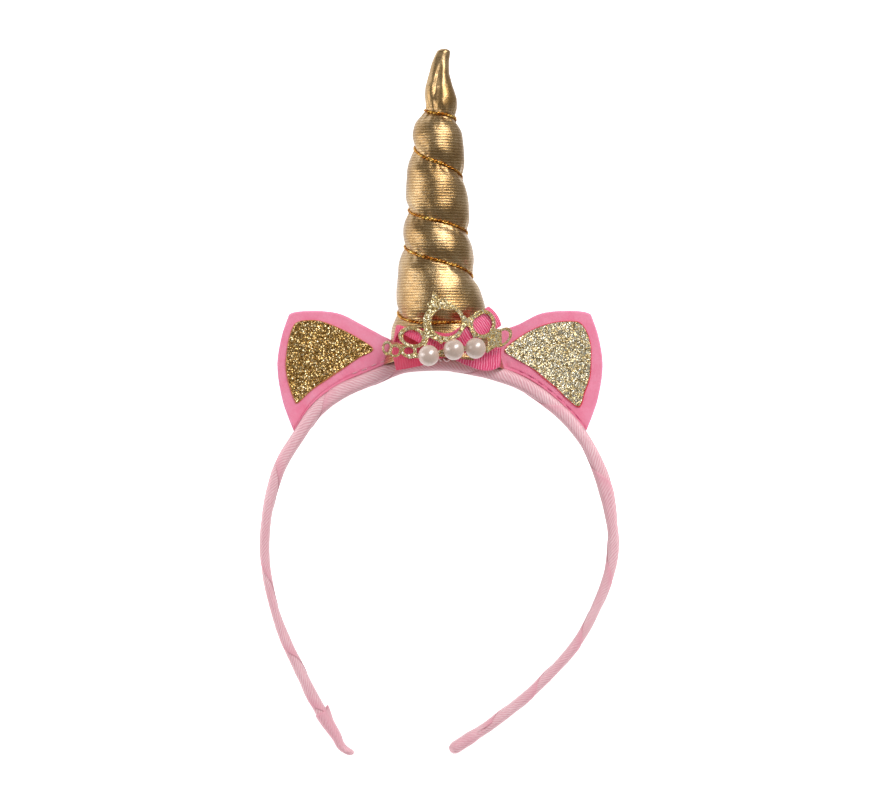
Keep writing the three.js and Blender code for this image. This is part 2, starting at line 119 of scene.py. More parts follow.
def run_of(points):
    """How far along a line each of its points lies."""
    return np.concatenate(([0], np.linalg.norm(np.diff(points, axis=0), axis=1).cumsum()))


def full_turn(count):
    """That many angles, evenly round a full turn."""
    return np.linspace(0, 2 * math.pi, count, endpoint=False)


def grid(columns, rows):
    return np.stack(np.meshgrid(columns, rows), -1)


def at_depth(flat, depth):
    return np.concatenate((flat, depth[..., None]), -1)


def line_frame(line, share, reach):
    """Points at shares of a smooth line, the way along it there and the way to its left."""
    ahead, behind = np.minimum(share + reach, 1), np.maximum(share - reach, 0)
    step = unit((spline(line, ahead) - spline(line, behind))[..., :2])
    return spline(line, share), step, np.stack((-step[..., 1], step[..., 0]), -1)


# Making meshes
def only(piece):
    for other in bpy.context.selected_objects:
        other.select_set(False)
    piece.select_set(True)
    bpy.context.view_layer.objects.active = piece


def new_piece(name, points, faces, uv=None, smooth=True, tint=None):
    """A piece with its place in its mesh; uv has one pair for each corner of each face, and tint
    one pair for each point: how much of its material's first and second mark shows there."""
    mesh = bpy.data.meshes.new(name)
    mesh.from_pydata([tuple(p) for p in placed(points)], [], [tuple(map(int, f)) for f in faces])
    if uv is not None:
        layer = mesh.uv_layers.new(name="UVMap")
        layer.data.foreach_set("uv", np.asarray(uv, np.float32).ravel())
    if tint is not None:
        marks = mesh.attributes.new("tint", "FLOAT_VECTOR", "POINT")
        whole = np.column_stack((tint, np.zeros(len(tint)))).astype(np.float32)
        marks.data.foreach_set("vector", whole.ravel())
    mesh.polygons.foreach_set("use_smooth", [smooth] * len(mesh.polygons))
    mesh.update()
    piece = bpy.data.objects.new(name, mesh)
    bpy.context.scene.collection.objects.link(piece)
    return piece


def outwards(piece):
    work = bmesh.new()
    work.from_mesh(piece.data)
    bmesh.ops.recalc_face_normals(work, faces=work.faces)
    work.to_mesh(piece.data)
    work.free()
    return piece


def web(name, points, uv, around=False, closed=False, tint=None):
    """A mesh of rows and columns of points; around joins the last column to the first, and closed
    shuts both ends of such a tube. uv is in millimetres, with one more column where around."""
    rows, columns = points.shape[:2]
    spans = columns if around else columns - 1
    r, c = (a.ravel() for a in np.meshgrid(np.arange(rows - 1), np.arange(spans), indexing="ij"))
    right = (c + 1) % columns
    faces = np.stack(
        (r * columns + c, r * columns + right, (r + 1) * columns + right, (r + 1) * columns + c), 1
    ).tolist()
    spots = np.stack((uv[r, c], uv[r, c + 1], uv[r + 1, c + 1], uv[r + 1, c]), 1).reshape(-1, 2)
    points, spots = points.reshape(-1, 3), spots.tolist()
    if tint is not None:
        tint = np.stack([np.broadcast_to(mark, (rows, columns)) for mark in tint], -1).reshape(-1, 2)
    if closed:
        for row in (0, rows - 1):
            ring = np.arange(row * columns, (row + 1) * columns)
            middle = len(points)
            points = np.vstack((points, points[ring].mean(0)))
            if tint is not None:
                tint = np.vstack((tint, tint[ring].mean(0)))
            for i in range(columns):
                faces.append([ring[i], ring[(i + 1) % columns], middle])
                spots += [uv[row, i], uv[row, i + 1], (uv[row, i] + uv[row, i + 1]) / 2]
    piece = new_piece(name, points, faces, np.array([tuple(s) for s in spots]), tint=tint)
    return outwards(piece) if closed else piece


def modify(piece, kind, **settings):
    modifier = piece.modifiers.new(kind.title(), kind)
    for name, value in settings.items():
        setattr(modifier, name, value)
    only(piece)
    bpy.ops.object.modifier_apply(modifier=modifier.name)
    return piece


def smoothed(piece):
    return modify(piece, "SUBSURF", levels=1, render_levels=1)


OFF_PATH = (0.13, 0.31, 0.94)  # a direction that no path of a tube takes


def tube(name, path, radius, sides, mark=0):
    """A round tube along a path of points, tinted by the mark."""
    forward = unit(np.gradient(path, axis=0))
    side = unit(np.cross(forward, OFF_PATH))
    up = np.cross(side, forward)
    angle = full_turn(sides)[:, None]
    ring = side[:, None] * np.cos(angle) + up[:, None] * np.sin(angle)
    uv = grid(np.linspace(0, 2 * math.pi, sides + 1) * radius, run_of(path))
    return web(name, path[:, None] + ring * radius, uv, around=True, closed=True, tint=(mark, 0))


def joined(name, pieces):
    """Several pieces as one object."""
    only(pieces[0])
    for piece in pieces:
        piece.select_set(True)
    bpy.ops.object.join()
    pieces[0].name = pieces[0].data.name = name
    return pieces[0]


# Making materials
class Sheet:
    """The node tree of a material, a group or the world, with short calls to add to it."""

    def __init__(self, tree):
        self.tree = tree

    def add(self, kind, sockets=(), **settings):
        made = self.tree.nodes.new(kind)
        for name, value in settings.items():
            setattr(made, name, value)
        for name, value in dict(sockets).items():
            self.plug(made.inputs[name], value)
        return made

    def plug(self, socket, value):
        if isinstance(value, bpy.types.NodeSocket):
            self.tree.links.new(value, socket)
        else:
            socket.default_value = value

    def math(self, operation, a, b=0.0, c=0.0):
        return self.add("ShaderNodeMath", {0: a, 1: b, 2: c}, operation=operation).outputs[0]

    def times(self, a, b, plus=None):
        if plus is None:
            return self.math("MULTIPLY", a, b)
        return self.math("MULTIPLY_ADD", a, b, plus)

    def vectors(self, operation, a, b=(0, 0, 0)):
        sockets = {0: a, "Scale" if operation == "SCALE" else 1: b}
        return self.add("ShaderNodeVectorMath", sockets, operation=operation).outputs[0]

    def spread(self, value, low, high, to_low=0.0, to_high=1.0):
        sockets = {"Value": value, "From Min": low, "From Max": high}
        made = self.add("ShaderNodeMapRange", {**sockets, "To Min": to_low, "To Max": to_high})
        return made.outputs[0]

    def blend(self, share, a, b):
        """Colour a, and colour b where share is 1."""
        return self.add("ShaderNodeMix", {0: share, 6: a, 7: b}, data_type="RGBA").outputs[2]

    def noise(self, vector, scale, detail=3.0, roughness=0.55):
        sockets = {"Vector": vector, "Scale": scale, "Detail": detail, "Roughness": roughness}
        return self.add("ShaderNodeTexNoise", sockets).outputs["Fac"]

    def stretched(self, vector, scale):
        return self.add("ShaderNodeMapping", {"Vector": vector, "Scale": scale}).outputs[0]

    def bump(self, height, strength, distance):
        sockets = {"Height": height, "Strength": strength, "Distance": distance}
        return self.add("ShaderNodeBump", sockets).outputs["Normal"]

    def ramp(self, value, stops):
        """A colour ramp from (place, colour) stops."""
        stops = list(stops)
        made = self.add("ShaderNodeValToRGB", {"Fac": value})
        elements = made.color_ramp.elements
        while len(elements) < len(stops):
            elements.new(0.5)
        for element, (place, colour) in zip(elements, stops):
            element.position = place
            element.color = (*colour, 1)
        return made.outputs["Color"]

    def axes(self, vector):
        split = self.add("ShaderNodeSeparateXYZ", {0: vector}).outputs
        return split["X"], split["Y"]

    def uv(self):
        return self.add("ShaderNodeUVMap", uv_map="UVMap").outputs["UV"]

    def spot(self):
        return self.add("ShaderNodeTexCoord").outputs["Object"]

    def tint(self):
        """How much of the first and of the second mark a point of the piece carries."""
        return self.axes(self.add("ShaderNodeAttribute", attribute_name="tint").outputs["Vector"])

    def glossy_ray(self):
        return self.add("ShaderNodeLightPath").outputs["Is Glossy Ray"]

    def group(self, group, **sockets):
        return self.add("ShaderNodeGroup", sockets, node_tree=group).outputs

    def surface(self, **sockets):
        """Gives a material's shader those values, and gives back the material."""
        for label, value in sockets.items():
            self.plug(self.shader.inputs[label.replace("_", " ")], value)
        return self.material


def new_group(name, inputs, outputs):
    group = bpy.data.node_groups.new(name, "ShaderNodeTree")
    for label, kind, value in inputs:
        socket = group.interface.new_socket(label, in_out="INPUT", socket_type=f"NodeSocket{kind}")
        if value is not None:
            socket.default_value = value
    for label, kind in outputs:
        group.interface.new_socket(label, in_out="OUTPUT", socket_type=f"NodeSocket{kind}")
    sheet = Sheet(group)
    return sheet, sheet.add("NodeGroupInput").outputs, sheet.add("NodeGroupOutput").inputs


def ribs_group():
    """Cross ribs of a woven ribbon or of lame, from a UV map in millimetres."""
    sheet, given, out = new_group(
        "woven_ribs",
        [("Vector", "Vector", None), ("Pitch", "Float", 1.0), ("Waver", "Float", 0.1),
         ("Break", "Float", 0.5), ("Thread", "Float", 0.25)],
        [("Height", "Float"), ("Crest", "Float"), ("Thread", "Float")],
    )
    along, up = sheet.axes(given["Vector"])
    drift = sheet.noise(given["Vector"], 0.35, 2.0)
    moved = sheet.times(drift, given["Waver"], up)
    turns = sheet.times(sheet.math("DIVIDE", moved, given["Pitch"]), 2 * math.pi)
    wave = sheet.spread(sheet.math("SINE", turns), -1.0, 1.0)
    patches = sheet.noise(sheet.stretched(given["Vector"], (0.45, 0.9, 1.0)), 1.0, 2.0)
    lost = sheet.math("SUBTRACT", 1.0, sheet.spread(patches, 0.35, 0.62))
    broken = sheet.times(given["Break"], lost)
    whole = sheet.math("SUBTRACT", 1.0, broken)
    crest = sheet.times(wave, whole, sheet.times(broken, 0.5))
    threads = sheet.times(sheet.math("DIVIDE", along, given["Thread"]), 2 * math.pi)
    fine = sheet.noise(given["Vector"], 3.0, 2.0)
    thread = sheet.times(sheet.math("SINE", threads), 0.2, fine)
    sheet.plug(out["Height"], sheet.times(thread, 0.5, crest))
    sheet.plug(out["Crest"], crest)
    sheet.plug(out["Thread"], thread)
    return sheet.tree


def mottle_group():
    """Soft uneven dye: a broad cloud and a fine one, as a mask."""
    sheet, given, out = new_group(
        "uneven_dye",
        [("Vector", "Vector", None), ("Broad", "Float", 120.0), ("Fine", "Float", 900.0)],
        [("Mask", "Float"), ("Fine", "Float")],
    )
    broad = sheet.noise(given["Vector"], given["Broad"], 3.0)
    fine = sheet.noise(given["Vector"], given["Fine"], 4.0, 0.65)
    both = sheet.times(fine, 0.45, sheet.times(broad, 0.75))
    sheet.plug(out["Mask"], sheet.spread(both, 0.35, 0.85))
    sheet.plug(out["Fine"], fine)
    return sheet.tree


def sparkle_group():
    """Glitter grains: a random value for each grain, and the leaning normal of its facet."""
    sheet, given, out = new_group(
        "glitter_grains",
        [("Vector", "Vector", None), ("Scale", "Float", 2200.0), ("Lean", "Float", 0.5),
         ("Comb", "Vector", None)],
        [("Grain", "Float"), ("Second", "Float"), ("Normal", "Vector"), ("Gap", "Float")],
    )
    sockets = {"Vector": given["Vector"], "Scale": given["Scale"]}
    colour = sheet.add("ShaderNodeTexVoronoi", sockets).outputs["Color"]
    edges = sheet.add("ShaderNodeTexVoronoi", sockets, feature="DISTANCE_TO_EDGE")
    split = sheet.add("ShaderNodeSeparateColor", {0: colour})
    centred = sheet.vectors("SUBTRACT", colour, (0.5, 0.5, 0.5))
    lean = sheet.vectors("SCALE", centred, given["Lean"])
    normal = sheet.add("ShaderNodeNewGeometry").outputs["Normal"]
    turned = sheet.vectors("ADD", sheet.vectors("ADD", normal, given["Comb"]), lean)
    sheet.plug(out["Grain"], split.outputs[0])
    sheet.plug(out["Second"], split.outputs[1])
    sheet.plug(out["Normal"], sheet.vectors("NORMALIZE", turned))
    sheet.plug(out["Gap"], sheet.spread(edges.outputs["Distance"], 0.0, 0.16))
    return sheet.tree


RIBS = ribs_group()
DYE = mottle_group()
GRAINS = sparkle_group()


def new_material(name, **sockets):
    """A material's node sheet, with the given constant values on its shader."""
    material = bpy.data.materials.new(name)
    material.use_nodes = True
    sheet = Sheet(material.node_tree)
    sheet.material, sheet.shader = material, sheet.tree.nodes["Principled BSDF"]
    sheet.surface(**sockets)
    return sheet


def ribbon_material(name, tones, shade, blush, pitch, strength):
    """A ribbed ribbon; its first mark is painted shade in its folds and on its sides, and its second a
    warmer blush.
    """
    sheet = new_material(name, Sheen_Weight=0.3, Sheen_Roughness=0.4)
    ribs = sheet.group(RIBS, Vector=sheet.uv(), Pitch=pitch, Waver=1.1, Break=0.55, Thread=0.3)
    dye = sheet.group(DYE, Vector=sheet.spot(), Broad=90.0, Fine=1400.0)
    shaded, blushed = sheet.tint()
    tone = sheet.times(dye["Mask"], 0.3, sheet.times(ribs["Crest"], 0.7))
    colour = sheet.ramp(tone, zip((0.15, 0.5, 0.85), tones))
    colour = sheet.blend(blushed, colour, (*blush, 1))
    colour = sheet.blend(shaded, colour, (*shade, 1))
    rough = sheet.times(ribs["Thread"], 0.15, 0.36)
    raised = sheet.times(ribs["Height"], sheet.spread(blushed, 0.0, 1.0, 1.0, 0.2))
    normal = sheet.bump(raised, strength, 0.00025)
    return sheet.surface(Base_Color=colour, Roughness=rough, Normal=normal)


def felt_material():
    """Felt; its first mark is the paler lilac of its cut edge and its second painted shade, darker
    pink in the stitched crease and below it.
    """
    sheet = new_material(
        "pink_felt", Sheen_Weight=0.3, Sheen_Roughness=0.6, Specular_IOR_Level=0.2,
        Sheen_Tint=(0.95, 0.78, 0.95, 1),
    )
    spot = sheet.spot()
    dye = sheet.group(DYE, Vector=spot, Broad=160.0, Fine=1100.0)
    fibres = sheet.noise(sheet.stretched(spot, (1.0, 0.35, 1.0)), 2600.0, 3.0, 0.7)
    tone = sheet.times(fibres, 0.3, sheet.times(dye["Mask"], 0.7))
    stops = ((0.2, (0.92, 0.23, 0.37)), (0.5, (0.95, 0.29, 0.43)), (0.8, (0.97, 0.35, 0.50)))
    edge, crease = sheet.tint()
    colour = sheet.blend(edge, sheet.ramp(tone, stops), (0.76, 0.30, 0.50, 1))
    # Painted shade: darker pink in the crease.
    colour = sheet.blend(crease, colour, (0.70, 0.08, 0.19, 1))
    rough = sheet.spread(fibres, 0.2, 0.8, 0.85, 1.0)
    return sheet.surface(Base_Color=colour, Roughness=rough, Normal=sheet.bump(tone, 0.35, 0.0004))


def lame_material():
    """Gold lame; its first mark is where it is drawn smooth, without its weave."""
    sheet = new_material(
        "gold_lame", Metallic=1.0, Coat_Weight=0.55, Coat_Roughness=0.34, Coat_IOR=1.6
    )
    ribs = sheet.group(RIBS, Vector=sheet.uv(), Pitch=0.98, Waver=0.6, Break=0.8, Thread=0.42)
    dye = sheet.group(DYE, Vector=sheet.spot(), Broad=110.0, Fine=2400.0)
    woven = sheet.spread(sheet.tint()[0], 0.0, 1.0, 1.0, 0.12)
    weave = sheet.times(ribs["Crest"], 0.2, sheet.times(ribs["Thread"], 0.35))
    tone = sheet.blend(woven, (0.3, 0.3, 0.3, 1), weave)
    tone = sheet.math("ADD", tone, sheet.times(dye["Mask"], 0.25, 0.1))
    stops = ((0.2, (0.14, 0.048, 0.008)), (0.45, (0.44, 0.24, 0.066)), (0.7, (0.96, 0.71, 0.40)))
    rough = sheet.spread(dye["Fine"], 0.3, 0.7, 0.24, 0.38)
    raised = sheet.times(sheet.times(ribs["Height"], woven), 0.8, dye["Fine"])
    normal = sheet.bump(raised, 0.34, 0.00022)
    return sheet.surface(Base_Color=sheet.ramp(tone, stops), Roughness=rough, Normal=normal)


def cord_material():
    sheet = new_material("cord_metal", Metallic=1.0)
    dye = sheet.group(DYE, Vector=sheet.spot(), Broad=420.0, Fine=3000.0)
    stops = ((0.25, (0.20, 0.04, 0.006)), (0.5, (0.66, 0.27, 0.03)), (0.8, (1.0, 0.74, 0.22)))
    rough = sheet.spread(dye["Fine"], 0.3, 0.7, 0.12, 0.3)
    normal = sheet.bump(dye["Fine"], 0.3, 0.0001)
    return sheet.surface(Base_Color=sheet.ramp(dye["Mask"], stops), Roughness=rough, Normal=normal)


def glitter_material(name, scale, tones, gap, edge, lean, comb, dull, metal):
    """Glitter sheet, whose grains lean by chance and all together by comb; its first mark is the
    bare edge of the sheet, whose darker colour is partly painted shadow under the plate."""
    sheet = new_material(name)
    grains = sheet.group(GRAINS, Vector=sheet.spot(), Scale=scale, Lean=lean, Comb=comb)
    colour = sheet.ramp(grains["Grain"], zip((0.0, 0.35, 0.72, 1.0), tones))
    colour = sheet.blend(grains["Gap"], (*gap, 1), colour)
    bare = sheet.spread(sheet.tint()[0], 0.15, 0.45)
    return sheet.surface(
        Base_Color=sheet.blend(bare, colour, (*edge, 1)),
        Metallic=sheet.spread(bare, 0.0, 1.0, metal, 0.0),
        Roughness=sheet.spread(grains["Second"], 0.0, 1.0, 0.18, dull),
        Normal=grains["Normal"],
    )


def pearl_material():
    sheet = new_material(
        "pearl_lacquer", Coat_Weight=1.0, Coat_Roughness=0.3, Coat_IOR=2.6, Sheen_Weight=0.25,
        Sheen_Roughness=0.35, Sheen_Tint=(1.0, 0.72, 0.74, 1), Subsurface_Weight=0.1,
        Subsurface_Radius=(0.002, 0.0015, 0.0012), Subsurface_Scale=0.5,
    )
    dye = sheet.group(DYE, Vector=sheet.spot(), Broad=70.0, Fine=1500.0)
    stops = ((0.2, (0.56, 0.40, 0.32)), (0.5, (0.62, 0.45, 0.36)), (0.8, (0.67, 0.49, 0.40)))
    rough = sheet.spread(dye["Fine"], 0.2, 0.8, 0.24, 0.34)
    normal = sheet.bump(dye["Fine"], 0.03, 0.0001)
    return sheet.surface(Base_Color=sheet.ramp(dye["Mask"], stops), Roughness=rough, Normal=normal)


def thread_material():
    """Thread; its first mark is how pale it is."""
    sheet = new_material("pink_thread", Sheen_Weight=0.3)
    twist = sheet.noise(sheet.spot(), 3500.0, 2.0)
    colour = sheet.ramp(twist, ((0.3, (0.55, 0.06, 0.18)), (0.7, (0.78, 0.16, 0.32))))
    colour = sheet.blend(sheet.tint()[0], colour, (0.9, 0.66, 0.68, 1))
    rough = sheet.spread(twist, 0.3, 0.7, 0.5, 0.7)
    return sheet.surface(Base_Color=colour, Roughness=rough, Normal=sheet.bump(twist, 0.4, 0.0001))


SATIN = ribbon_material(
    "pale_satin", ((0.80, 0.38, 0.44), (0.92, 0.52, 0.575), (1.0, 0.71, 0.74)),
    shade=(0.50, 0.26, 0.29), blush=(0.90, 0.39, 0.48), pitch=0.88, strength=0.3,
)
GROSGRAIN = ribbon_material(
    "hot_grosgrain", ((0.66, 0.025, 0.11), (0.88, 0.07, 0.21), (1.0, 0.36, 0.52)),
    shade=(0.60, 0.012, 0.035), blush=(0.79, 0.052, 0.125), pitch=0.85, strength=0.5,
)
FELT = felt_material()
LAME = lame_material()
CORD_METAL = cord_material()
# Two copies of one gold glitter: the left ear's painted darker, as shade, the right ear's painted
# paler, as light.
GLITTER_SHADED = glitter_material(
    "glitter_gold_painted_shade", 2600.0,
    ((0.20, 0.09, 0.012), (0.60, 0.32, 0.07), (1.0, 0.68, 0.25), (1.0, 0.90, 0.58)),
    gap=(0.17, 0.075, 0.012), edge=(0.62, 0.20, 0.08), lean=1.05, comb=(0.09, 0.12, 0),
    dull=0.42, metal=0.85,
)
GLITTER_LIT = glitter_material(
    "glitter_gold_painted_light", 2500.0,
    ((0.20, 0.12, 0.025), (0.86, 0.69, 0.36), (1.0, 0.95, 0.74), (1.0, 0.99, 0.90)),
    gap=(0.13, 0.07, 0.015), edge=(0.68, 0.03, 0.05), lean=0.7, comb=(0.28, 0.37, 0),
    dull=0.46, metal=0.8,
)
GLITTER_TIARA = glitter_material(
    "glitter_tiara_gold", 2300.0,
    ((0.42, 0.24, 0.045), (1.0, 0.74, 0.31), (1.0, 0.90, 0.56), (1.0, 0.96, 0.78)),
    gap=(0.20, 0.11, 0.03), edge=(0.50, 0.36, 0.12), lean=0.85, comb=(0.23, 0.3, 0),
    dull=0.48, metal=0.65,
)
PEARL_LACQUER = pearl_material()
THREAD = thread_material()


def dress(piece, material, slot, *nodes):
    """Gives a finished piece its material, its body and the solids that it stands for; the slot is not
    used.
    """
    piece.data.materials.clear()
    piece.data.materials.append(material)
    if nodes:
        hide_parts(*nodes)
    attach(piece, "root")
    return piece


# Camera
CAMERA_AWAY = 1600
VIEW_MIDDLE = (0, -12.6, 0)
VIEW_WIDE = 308  # of the plane of the band, across the picture
FILM_WIDE = 36

camera = bpy.data.objects.new("camera", bpy.data.cameras.new("camera"))
bpy.context.scene.collection.objects.link(camera)
bpy.context.scene.camera = camera
camera.location = placed(np.add(VIEW_MIDDLE, (0, 0, CAMERA_AWAY)))[0]
camera.rotation_euler = (LEAN, 0, 0)
camera.data.sensor_width = FILM_WIDE
camera.data.lens = FILM_WIDE * CAMERA_AWAY / VIEW_WIDE
camera.data.clip_start, camera.data.clip_end = 0.1, 10

# Band
# Its middle line from the left tip over the top to the right tip: across, as shares of half the
# span, drop, as shares of the drop, and thickness, as shares of the thickness at the top.
BAND_ROUTE = (
    (-0.506, 0.993, 0.5), (-0.647, 0.896, 0.86), (-0.753, 0.804, 0.8), (-0.847, 0.713, 0.76),
    (-0.922, 0.621, 0.64), (-0.964, 0.529, 0.68), (-0.972, 0.438, 0.7), (-0.947, 0.346, 0.8),
    (-0.889, 0.262, 0.92), (-0.8, 0.194, 0.92), (-0.689, 0.119, 1), (-0.548, 0.07, 1.08),
    (-0.393, 0.038, 1.08), (-0.222, 0.008, 1.04), (-0.056, 0, 1), (0.111, 0.004, 1),
    (0.293, 0.023, 1.04), (0.444, 0.047, 1.04), (0.581, 0.087, 1), (0.729, 0.15, 0.92),
    (0.842, 0.224, 0.94), (0.914, 0.31, 1.08), (0.956, 0.407, 0.82), (0.964, 0.461, 0.84),
    (0.942, 0.53, 0.8), (0.88, 0.606, 0.74), (0.8, 0.682, 0.7), (0.675, 0.758, 0.74),
    (0.506, 0.835, 0.76), (0.306, 0.909, 0.8), (0.061, 0.983, 0.8),
)
BAND_SQUARENESS = 3
BAND_LINE = np.array(BAND_ROUTE) * (BAND_SPAN / 2, -BAND_DROP, BAND_THICK)
BAND_SHARES = np.linspace(0, 1, 3001)
BAND_FAR = run_of(spline(BAND_LINE, BAND_SHARES)[:, :2])
BAND_LONG = BAND_FAR[-1]


def squared(wave):
    return np.sign(wave) * np.abs(wave) ** (2 / BAND_SQUARENESS)


def around_band():
    """Angles of the band's section at even shares of the way round it, from the front."""
    angle = np.linspace(0, 2 * math.pi, 4001)
    side, deep = squared(np.sin(angle)) * BAND_THICK * 0.45, squared(np.cos(angle)) * BAND_DEEP / 2
    far = run_of(np.stack((side, deep), 1))
    return far / far[-1], angle, far[-1]


ROUND_SHARES, ROUND_ANGLES, BAND_GIRTH = around_band()


def band_section(turn):
    """How far outwards and how far frontwards of the band's middle, from -1 to 1, a turn lies."""
    angle = np.interp(np.mod(turn, 1), ROUND_SHARES, ROUND_ANGLES)
    return squared(np.sin(angle)), squared(np.cos(angle))


def band_line(far):
    """The band's middle line, the way out of the loop and the thickness, that far from the left
    tip; beyond a tip the line goes straight on."""
    spot, step, out = line_frame(BAND_LINE, np.interp(far, BAND_FAR, BAND_SHARES), 1e-4)
    past = far - np.clip(far, 0, BAND_LONG)
    return spot[..., :2] + step * past[..., None], out, spot[..., 2]


def band_point(far, turn, proud):
    """A point that far along the band, at a number of turns round it, and that far off its face."""
    middle, out, thick = band_line(far)
    sideways, frontwards = band_section(turn)
    side = sideways * (thick / 2 + proud)
    return at_depth(middle + out * side[..., None], frontwards * (BAND_DEEP / 2 + proud))


def seat_height(x):
    """The height of the band's outer face at a place across, near its top."""
    middle, out, thick = band_line(np.linspace(0.25, 0.72, 200) * BAND_LONG)
    face = middle + out * (thick[:, None] / 2)
    return np.interp(x, face[:, 0], face[:, 1])


# Where an edge of the wound ribbon crosses the middle of the front, from the left tip.
WRAP_EDGES = (-8, 19, 40.5, 69.5, 106, 135, 164, 193, 222, 252, 286, 311, 335, 355.5, 383)
WRAP_LAP = 0.16  # how much a wrap lies over the last one, as a share of the way between edges
WRAP_STEP = 0.2  # how far its edge stands off the last wrap
WRAP_ROWS = 48  # to a turn
WRAP_SKIN = 0.22
STRIP_FROM, STRIP_TO = 7, BAND_LONG - 3.5  # the strip goes no nearer to the tips
CORE_FROM, CORE_TO = 5, BAND_LONG - 1.5
WRAP_START = -0.45  # the turn at which it begins, under the left end
ENDS_OVER = (15.5, 9)  # how much of the strip the folded ends lie over, left and right
WRAP_ACROSS = (
    0, 0.02, 0.05, 0.09, 0.14, 0.19, 0.24, 0.3, 0.38, 0.46, 0.54, 0.62, 0.7, 0.78, 0.86, 0.93, 1,
)
RIB_SLANT = math.radians(40)  # between the ribs and the run of the band


def round_spot(far, turn):
    """Places on a round band, for ripples that meet where a turn closes."""
    return np.stack((far * 0.2, np.sin(turn * 2 * math.pi), np.cos(turn * 2 * math.pi)), -1)


def band_marks(far, turn, blush):
    """Painted shade, darker on the band's sides and inner face, and the given blush, for the ribbon's
    tint.
    """
    sideways, _ = band_section(turn)
    # Painted shade: the inner face and the outer edge darken as if in shade.
    inner = ease((-sideways - 0.25) / 0.8)
    outer = ease((sideways - 0.78) / 0.25)
    blush = blush + ripple(round_spot(far, turn), 1.5, 4) * 0.35
    return np.clip(0.7 * inner + 0.55 * outer, 0, 1), np.clip(blush, 0, 1)


def band_uv(far, turn):
    """Places on the unrolled face of the band, turned so that its ribs slant across the band."""
    girth = turn * BAND_GIRTH
    slant, climb = math.cos(RIB_SLANT), math.sin(RIB_SLANT)
    return np.stack((far * slant - girth * climb, far * climb + girth * slant), -1)


def wound_ribbon():
    """The ribbon as one long strip, wound from the left tip to the right one."""
    last = len(WRAP_EDGES) - 1
    turn = np.linspace(WRAP_START, last - 1.02, int((last - 1 - WRAP_START) * WRAP_ROWS))
    edges = np.array(WRAP_EDGES, float)[:, None]
    start, end = (spline(edges, place / last)[:, 0] for place in (turn, turn + 1))
    across = np.array(WRAP_ACROSS)
    wide = (end - start) * (1 + WRAP_LAP)
    far = np.clip(start[:, None] + wide[:, None] * across, STRIP_FROM, STRIP_TO)
    whole = np.broadcast_to(turn[:, None], far.shape)
    climb = 1 - ease((across - WRAP_LAP / (1 + WRAP_LAP)) / 0.1)
    spot = band_point(far, whole, 0 * far)
    waver = ripple(spot, 1.6, 3) * 0.06 + ripple(spot, 6.0, 8) * 0.12
    under = ease((ENDS_OVER[0] - far) / 1.5) + ease((far - BAND_LONG + ENDS_OVER[1]) / 4)
    proud = waver - 0.12 + climb * WRAP_STEP - 0.3 * ease((across - 0.88) / 0.1) - 0.35 * under
    blush = 0.75 * bell(far, start[:, None], 3.5)  # beside the edge of the last wrap
    tint = band_marks(far, whole, blush)
    ribbon = web("wound_ribbon", band_point(far, whole, proud), band_uv(far, whole), tint=tint)
    modify(ribbon, "SOLIDIFY", thickness=WRAP_SKIN * MM, offset=-1)
    around = BAND_GIRTH * (turn[1] - turn[0])
    step = np.hypot(np.gradient(far[:, 0]), around)
    return ribbon, step.sum(), float(np.median(wide * around / step))


def band_core():
    """The band itself, inside the ribbon, slimmer towards its tips."""
    far = np.linspace(CORE_FROM, CORE_TO, 260)
    proud = -0.5 - 0.5 * ease((12 - far) / 7) - 1.2 * ease(1 - (BAND_LONG - far) / 4)
    turn, away = np.meshgrid(np.linspace(0, 1, 24, endpoint=False), far)
    uv = grid(np.linspace(0, BAND_GIRTH, 25), far)
    points = band_point(away, turn, proud[:, None])
    return web("band_core", points, uv, around=True, closed=True)


END_SKIN = 0.24
END_WAVER = 0.1
END_CLOSE = 2.2  # how squarely an end closes over the tip
LOOSE_OUT = 1.4  # how far a loose corner reaches along the band
LOOSE_OFF = 0.9  # and how far it stands off
BRIGHT_TURN = 0.83  # where a loose end is brightest, round the band


def near_turn(turn, place, wide):
    return bell(np.mod(turn - place + 0.5, 1), 0.5, wide)


def band_end(name, start, end, rounded, taper, hook=0, loose=None):
    """The ribbon's end folded over a tip: start is its edge on the band and end the tip itself;
    rounded is the share of its length that closes, taper how much of its width goes on the way,
    hook how far the tip is drawn aside, and loose the turn where a corner stands off."""
    nose = 1 - rounded * (1 - np.sin(np.linspace(0.08, 1, 14) * math.pi / 2))
    share = np.concatenate((np.linspace(0, 1 - rounded, 44), nose))
    whole = np.linspace(0, 1, 48, endpoint=False)
    beyond = ((share - 1 + rounded) / rounded).clip(0)
    close = (np.clip(1 - beyond**END_CLOSE, 0, 1) ** (1 / END_CLOSE))[:, None]
    turn, far = np.meshgrid(whole, mix(start, end, share))
    spot = 2 * round_spot(far, turn)
    if loose is None:
        lift = -0.5 * (1 - ease(share / 0.45))[:, None]
    else:
        corner = near_turn(turn, loose, 0.07)
        reach = np.sign(start - end) * corner * LOOSE_OUT
        far = far + reach * (1 - ease(share / 0.2))[:, None]
        lift = corner * LOOSE_OFF * (1 - ease(share / 0.28))[:, None]
    thin = band_line(far[:, 0])[2][:, None] / 2
    slim = 1 - taper * ease(share / 0.9)[:, None]
    proud = (END_SKIN + ripple(spot, 2.2, 5) * END_WAVER + lift + thin) * close * slim - thin
    points = band_point(far, turn, proud)
    deep = (BAND_DEEP / 2 + END_SKIN + lift) * close * band_section(whole)[1]
    points[..., 2] = deep + ripple(spot, 2.2, 6) * END_WAVER
    bow = bell(share, 0.78, 0.14)
    points[..., 0] += hook * (ease((share - 0.8) / 0.2) ** 2 - 0.55 * bow)[:, None]
    hem = 0.4 * bell(share, 0, 0.06)[:, None]
    blush = 0.3 + (hem + 0.65 * near_turn(turn, BRIGHT_TURN, 0.1)) * (loose is not None)
    uv = band_uv(far[:, :1], np.append(whole, 1))
    return web(name, points, uv, around=True, closed=True, tint=band_marks(far, turn, blush))


